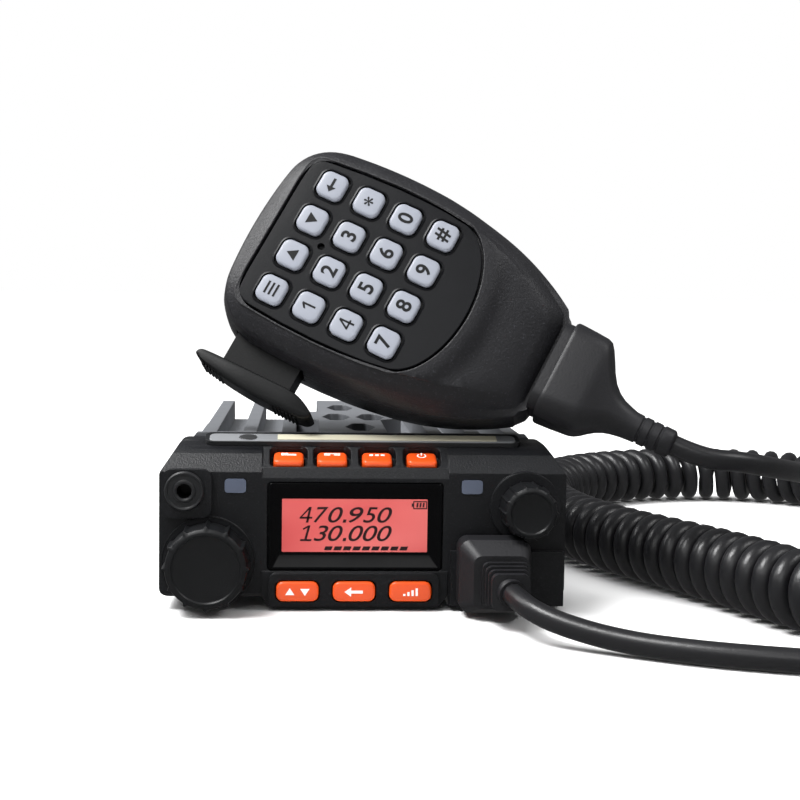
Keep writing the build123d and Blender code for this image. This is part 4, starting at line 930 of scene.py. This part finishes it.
# black display surround: a thin raised lip, walls sloping in, and the recessed window
SURROUND = (  # left, right, bottom, top, y, corner radius
    (-23.0, 18.8, 9.7, 30.7, -56.95, 0.9), (-23.0, 18.8, 9.7, 30.7, -58.0, 0.9),
    (-22.85, 18.65, 9.85, 30.55, -58.12, 0.8), (-22.4, 18.2, 10.25, 30.2, -58.12, 0.7),
    (-22.25, 18.05, 10.4, 30.05, -58.02, 0.6), (-20.75, 16.3, 13.1, 28.6, -57.3, 0.5),
    (-20.5, 16.05, 13.3, 28.3, -57.2, 0.4), (-19.6, 15.2, 14.1, 26.6, -57.2, 0.3),
)
surround_rings = [window_ring(*sizes) for sizes in SURROUND]
place(skin("lcd_surround", surround_rings, 25), "radio", LENS, ["lcd_window"])
lit = rounded_rect(lcd_w, lcd_h, 0.25, 3)
lcd = skin("lcd_lit_face", [[lcd_face(x, y, z) for x, y in lit] for z in (-0.15, 0.0)])
place(lcd, "radio", LCD)
CELLS = (1.65, 5.1, 8.55, 10.9, 13.5, 16.95, 20.4)  # middles of the characters of a line
SEGMENTS = {  # characters made of slanted bars; the rest come from the font
    ".": [box_shape(-0.15, -1.5, 0.75, 0.75, 0.1)],
    "4": [[(-1.75, -0.95), (1.25, -0.95), (1.35, -0.5), (-1.65, -0.5)],
          [(0.6, 1.9), (1.15, 1.9), (0.35, -1.9), (-0.2, -1.9)],
          [(-1.75, -0.7), (-1.2, -0.55), (1.15, 1.9), (0.6, 1.9)]],
    "1": [[(0.35, 1.9), (0.9, 1.9), (0.0, -1.5), (-0.55, -1.5)],
          [(-1.6, -1.9), (1.1, -1.9), (1.2, -1.45), (-1.5, -1.45)],
          [(-0.95, 1.15), (0.4, 1.9), (0.5, 1.5), (-0.8, 0.8)]],
}
for line, text, z in (("upper", "470.950", 9.05), ("lower", "130.000", 4.55)):
    for i, (cell, sign) in enumerate(zip(CELLS, text)):
        spot = on_plane(Vector((LCD_X[0] + 4.3 + cell, LCD_Y, LCD_Z[0] + z)), RIGHT, UP)
        name = f"lcd_{line}_{i}"
        if sign in SEGMENTS:
            decal(name, SEGMENTS[sign], spot, "radio", LCD_INK)
        else:
            glyph(name, sign, spot, 3.8, "radio", LCD_INK, shear=0.3, width=3.55,
                  weight=0.004)
bars = [box_shape(-6.35 + 2.28 * k, -5.55, 1.75, 0.95, 0.2) for k in range(9)]
decal("lcd_signal_bars", bars, lcd_face, "radio", LCD_INK)
battery = on_plane(Vector((LCD_X[1] - 1.9, LCD_Y, LCD_Z[1] - 1.4)), RIGHT, UP)
battery_shapes = [box_shape(0.1, 0.85, 3.1, 0.25), box_shape(0.1, -0.85, 3.1, 0.25),
                  box_shape(1.65, 0, 0.25, 1.9), box_shape(-1.5, 0, 0.25, 1.9), box_shape(-1.8, 0, 0.35, 0.8)]
battery_shapes += [box_shape(-0.6 + 0.75 * k, 0, 0.42, 1.1, 0.06) for k in range(3)]
decal("lcd_battery", battery_shapes, battery, "radio", LCD_INK)


# ---- radio keys -------------------------------------------------------------------------------
TOP_KEY_X = (-18.3, -7.8, 3.1, 14.0)
LEAN = math.radians(19.4)
SLOPE_UP = Vector((0, math.cos(LEAN), math.sin(LEAN)))


def key_cap(name, at, width, height, radius, depth, edge, crown):
    """A key with rounded edges and a slightly domed face, on the plane that at puts points on."""
    def oblong(inset):
        return rounded_rect(width - 2 * inset, height - 2 * inset, max(0.3, radius - inset), 6)

    rings = [[at(x, y, -depth) for x, y in oblong(0)]]
    for i in range(6):
        a = math.pi / 2 * i / 5
        drop = edge * (1 - math.sin(a))
        rings.append([at(x, y, -drop) for x, y in oblong(edge * (1 - math.cos(a)))])
    for share in (0.75, 0.4):
        rings.append([at(x * share, y * share, crown * (1 - share**2)) for x, y in oblong(edge)])
    return skin(name, rings, 50)


def power_sign(steps=28):
    """A ring open at the top, with a bar in the gap."""
    middle_z, outer, inner, start, sweep = -0.1, 1.15, 0.85, 130, 280
    angles = [math.radians(start + sweep * i / steps) for i in range(steps + 1)]
    hook = [(outer * math.cos(a), middle_z + outer * math.sin(a)) for a in angles]
    hook += [(inner * math.cos(a), middle_z + inner * math.sin(a)) for a in reversed(angles)]
    return [hook, box_shape(0, 0.75, 0.32, 1.3)]


TOP_SIGNS = (
    [box_shape(0, 0, 3.6, 0.75), box_shape(-1.0, 0.62, 1.6, 0.5)],
    [box_shape(-1.2, 0, 1.5, 0.5), box_shape(1.2, 0, 1.5, 0.5), box_shape(0, 0.7, 3.9, 0.35)],
    [box_shape(-1.4, 0.1, 0.9, 0.8), box_shape(0, 0.1, 0.9, 0.8), box_shape(1.4, 0.1, 0.9, 0.8)],
    power_sign(),
)
for k, (x, sign) in enumerate(zip(TOP_KEY_X, TOP_SIGNS), 1):
    body = f"top_key_{k}"
    at = on_plane(Vector((x, -53.9, 36.65)), RIGHT, SLOPE_UP)
    place(key_cap(body + "_cap", at, 7.3, 5.7, 1.3, 3.4, 0.85, 0.08), body, ORANGE, [body])
    sign_at = on_plane(at(0, 0.75, 0.05), RIGHT, SLOPE_UP)
    decal(body + "_print", sign, sign_at, body, WHITE_INK)

FRONT_KEY_X, FRONT_KEY_Z = (-15.9, -2.3, 11.3), 4.7
FRONT_SIGNS = (
    [[(-2.9, -0.75), (-0.7, -0.75), (-1.8, 0.95)], [(0.7, 0.75), (2.9, 0.75), (1.8, -0.95)]],
    [[(-2.3, 0), (-0.7, 1.15), (-0.7, 0.35), (2.1, 0.35), (2.1, -0.35), (-0.7, -0.35), (-0.7, -1.15)]],
    [box_shape(i - 1.5, -0.95 + (0.5 + 0.45 * i) / 2, 0.55, 0.5 + 0.45 * i) for i in range(4)],
)
front_key_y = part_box("front_key_1")[0].y / MM
for k, (x, sign) in enumerate(zip(FRONT_KEY_X, FRONT_SIGNS), 1):
    body = f"front_key_{k}"
    at = on_plane(Vector((x, front_key_y + 0.05, FRONT_KEY_Z)), RIGHT, UP)
    place(key_cap(body + "_cap", at, 10.2, 4.8, 1.7, 2.6, 0.7, 0.05), body, ORANGE, [body])
    decal(body + "_print", sign, on_plane(at(0, 0, 0.05), RIGHT, UP), body, WHITE_INK)

# cream strip stuck on the trim plate, and a dark ring round the plate that is painted shadow for the shaded
# gap under the plate's edge
TRIM_SEAT = Vector((0, -47.34, 38.99))  # middle of the plate's underside
TRIM_NORMAL = Vector((0, -0.217, 0.976))
TRIM_THICK = 1.66
STRIP_X = 5.95
trim_lean = math.atan2(-TRIM_NORMAL.y, TRIM_NORMAL.z)
plate_up = Vector((0, math.cos(trim_lean), math.sin(trim_lean)))
strip_at = on_plane(TRIM_SEAT + RIGHT * STRIP_X + TRIM_NORMAL * TRIM_THICK, RIGHT, plate_up)
strip_shape = rounded_rect(54.1, 3.9, 0.3, 4)
strip = skin("trim_label_strip", [[strip_at(x, y, z) for x, y in strip_shape] for z in (-0.05, 0.12)])
place(strip, "radio", LABEL)

# painted shadow: a black ring set where there is only the shaded gap round the plate
shadow_ring_outer, shadow_ring_inner = rounded_rect(77.4, 7.1, 2.2, 6), rounded_rect(75.2, 5.3, 1.4, 6)
shadow_ring_at = on_plane(TRIM_SEAT, RIGHT, plate_up)
shadow_ring_loops = [[shadow_ring_at(x, y, z) for x, y in shape] for shape, z in (
    (shadow_ring_outer, 0.6), (shadow_ring_outer, 1.72), (shadow_ring_inner, 1.5), (shadow_ring_inner, 0.6))]
place(hoop("trim_painted_shadow_ring", shadow_ring_loops), "radio", JACK)


# ---- knobs and data jack ----------------------------------------------------------------------
def ridges(count, height, sharpness):
    """Pointed ridges round a knob's rim."""
    return lambda angle: height * ((1 + math.cos(angle * count)) / 2) ** sharpness


def knob(name, body, centre, radius, back, front, rim, height, count_ridges):
    """A ridged knob with a dished face, from its back to its front along Y."""
    side = [(radius, back, 1), (radius + 0.05, (back + front) / 2, 1), (radius - 0.05, front + 1.2, 1),
            (radius - 0.25, front + 0.5, 1), (radius - 0.8, front + 0.08), (radius - 1.0, front),
            (radius - rim, front), (radius - rim - 0.3, front + 0.35), (radius * 0.5, front + 0.6),
            (0.02, front + 0.65), (0.02, back)]
    piece = revolve(name, centre, side, 240, ridges(count_ridges, height, 16), 30)
    place(piece, body, KNOB, [body])


def panel_ring(name, centre, outer, face):
    """A thin raised ring on the panel round a knob."""
    loop = [(outer, face + 0.4), (outer, face - 0.05), (outer - 0.2, face - 0.2),
            (outer - 0.5, face - 0.05), (outer - 0.5, face + 0.4)]
    place(revolve(name, centre, loop, 96), "radio", KNOB)


CHANNEL_AT, VOLUME_AT, JACK_AT = (-37.3, 11.5), (38.95, 25.2), (-42.9, 28.9)  # (x, z)
knob("channel_knob_cap", "channel_knob", CHANNEL_AT, 9.7, -58.9, -67.6, 1.55, 0.7, 12)
knob("volume_knob_cap", "volume_knob", VOLUME_AT, 6.3, -59.6, -68.8, 1.35, 0.4, 14)
panel_ring("channel_ring", CHANNEL_AT, 11.2, -58.6)
panel_ring("volume_ring", VOLUME_AT, 8.6, -59.2)
JACK_RING = ((4.72, -59.7), (4.72, -60.2), (4.4, -60.6), (4.0, -60.45), (3.85, -60.22), (2.75, -60.22),
             (2.6, -60.5), (2.2, -60.6), (1.85, -60.4), (1.8, -59.7))
place(revolve("data_jack_ring", JACK_AT, JACK_RING, 72), "radio", JACK)

# carried-over nodes get softened edges
for name, width in SOFTENED.items():
    obj = nodes[name]
    weld = obj.modifiers.new("weld", "WELD")
    weld.merge_threshold = 2e-6
    soft = obj.modifiers.new("soft_edges", "BEVEL")
    soft.width, soft.segments, soft.limit_method = width * MM, 2, "ANGLE"
    soft.angle_limit = math.radians(40)
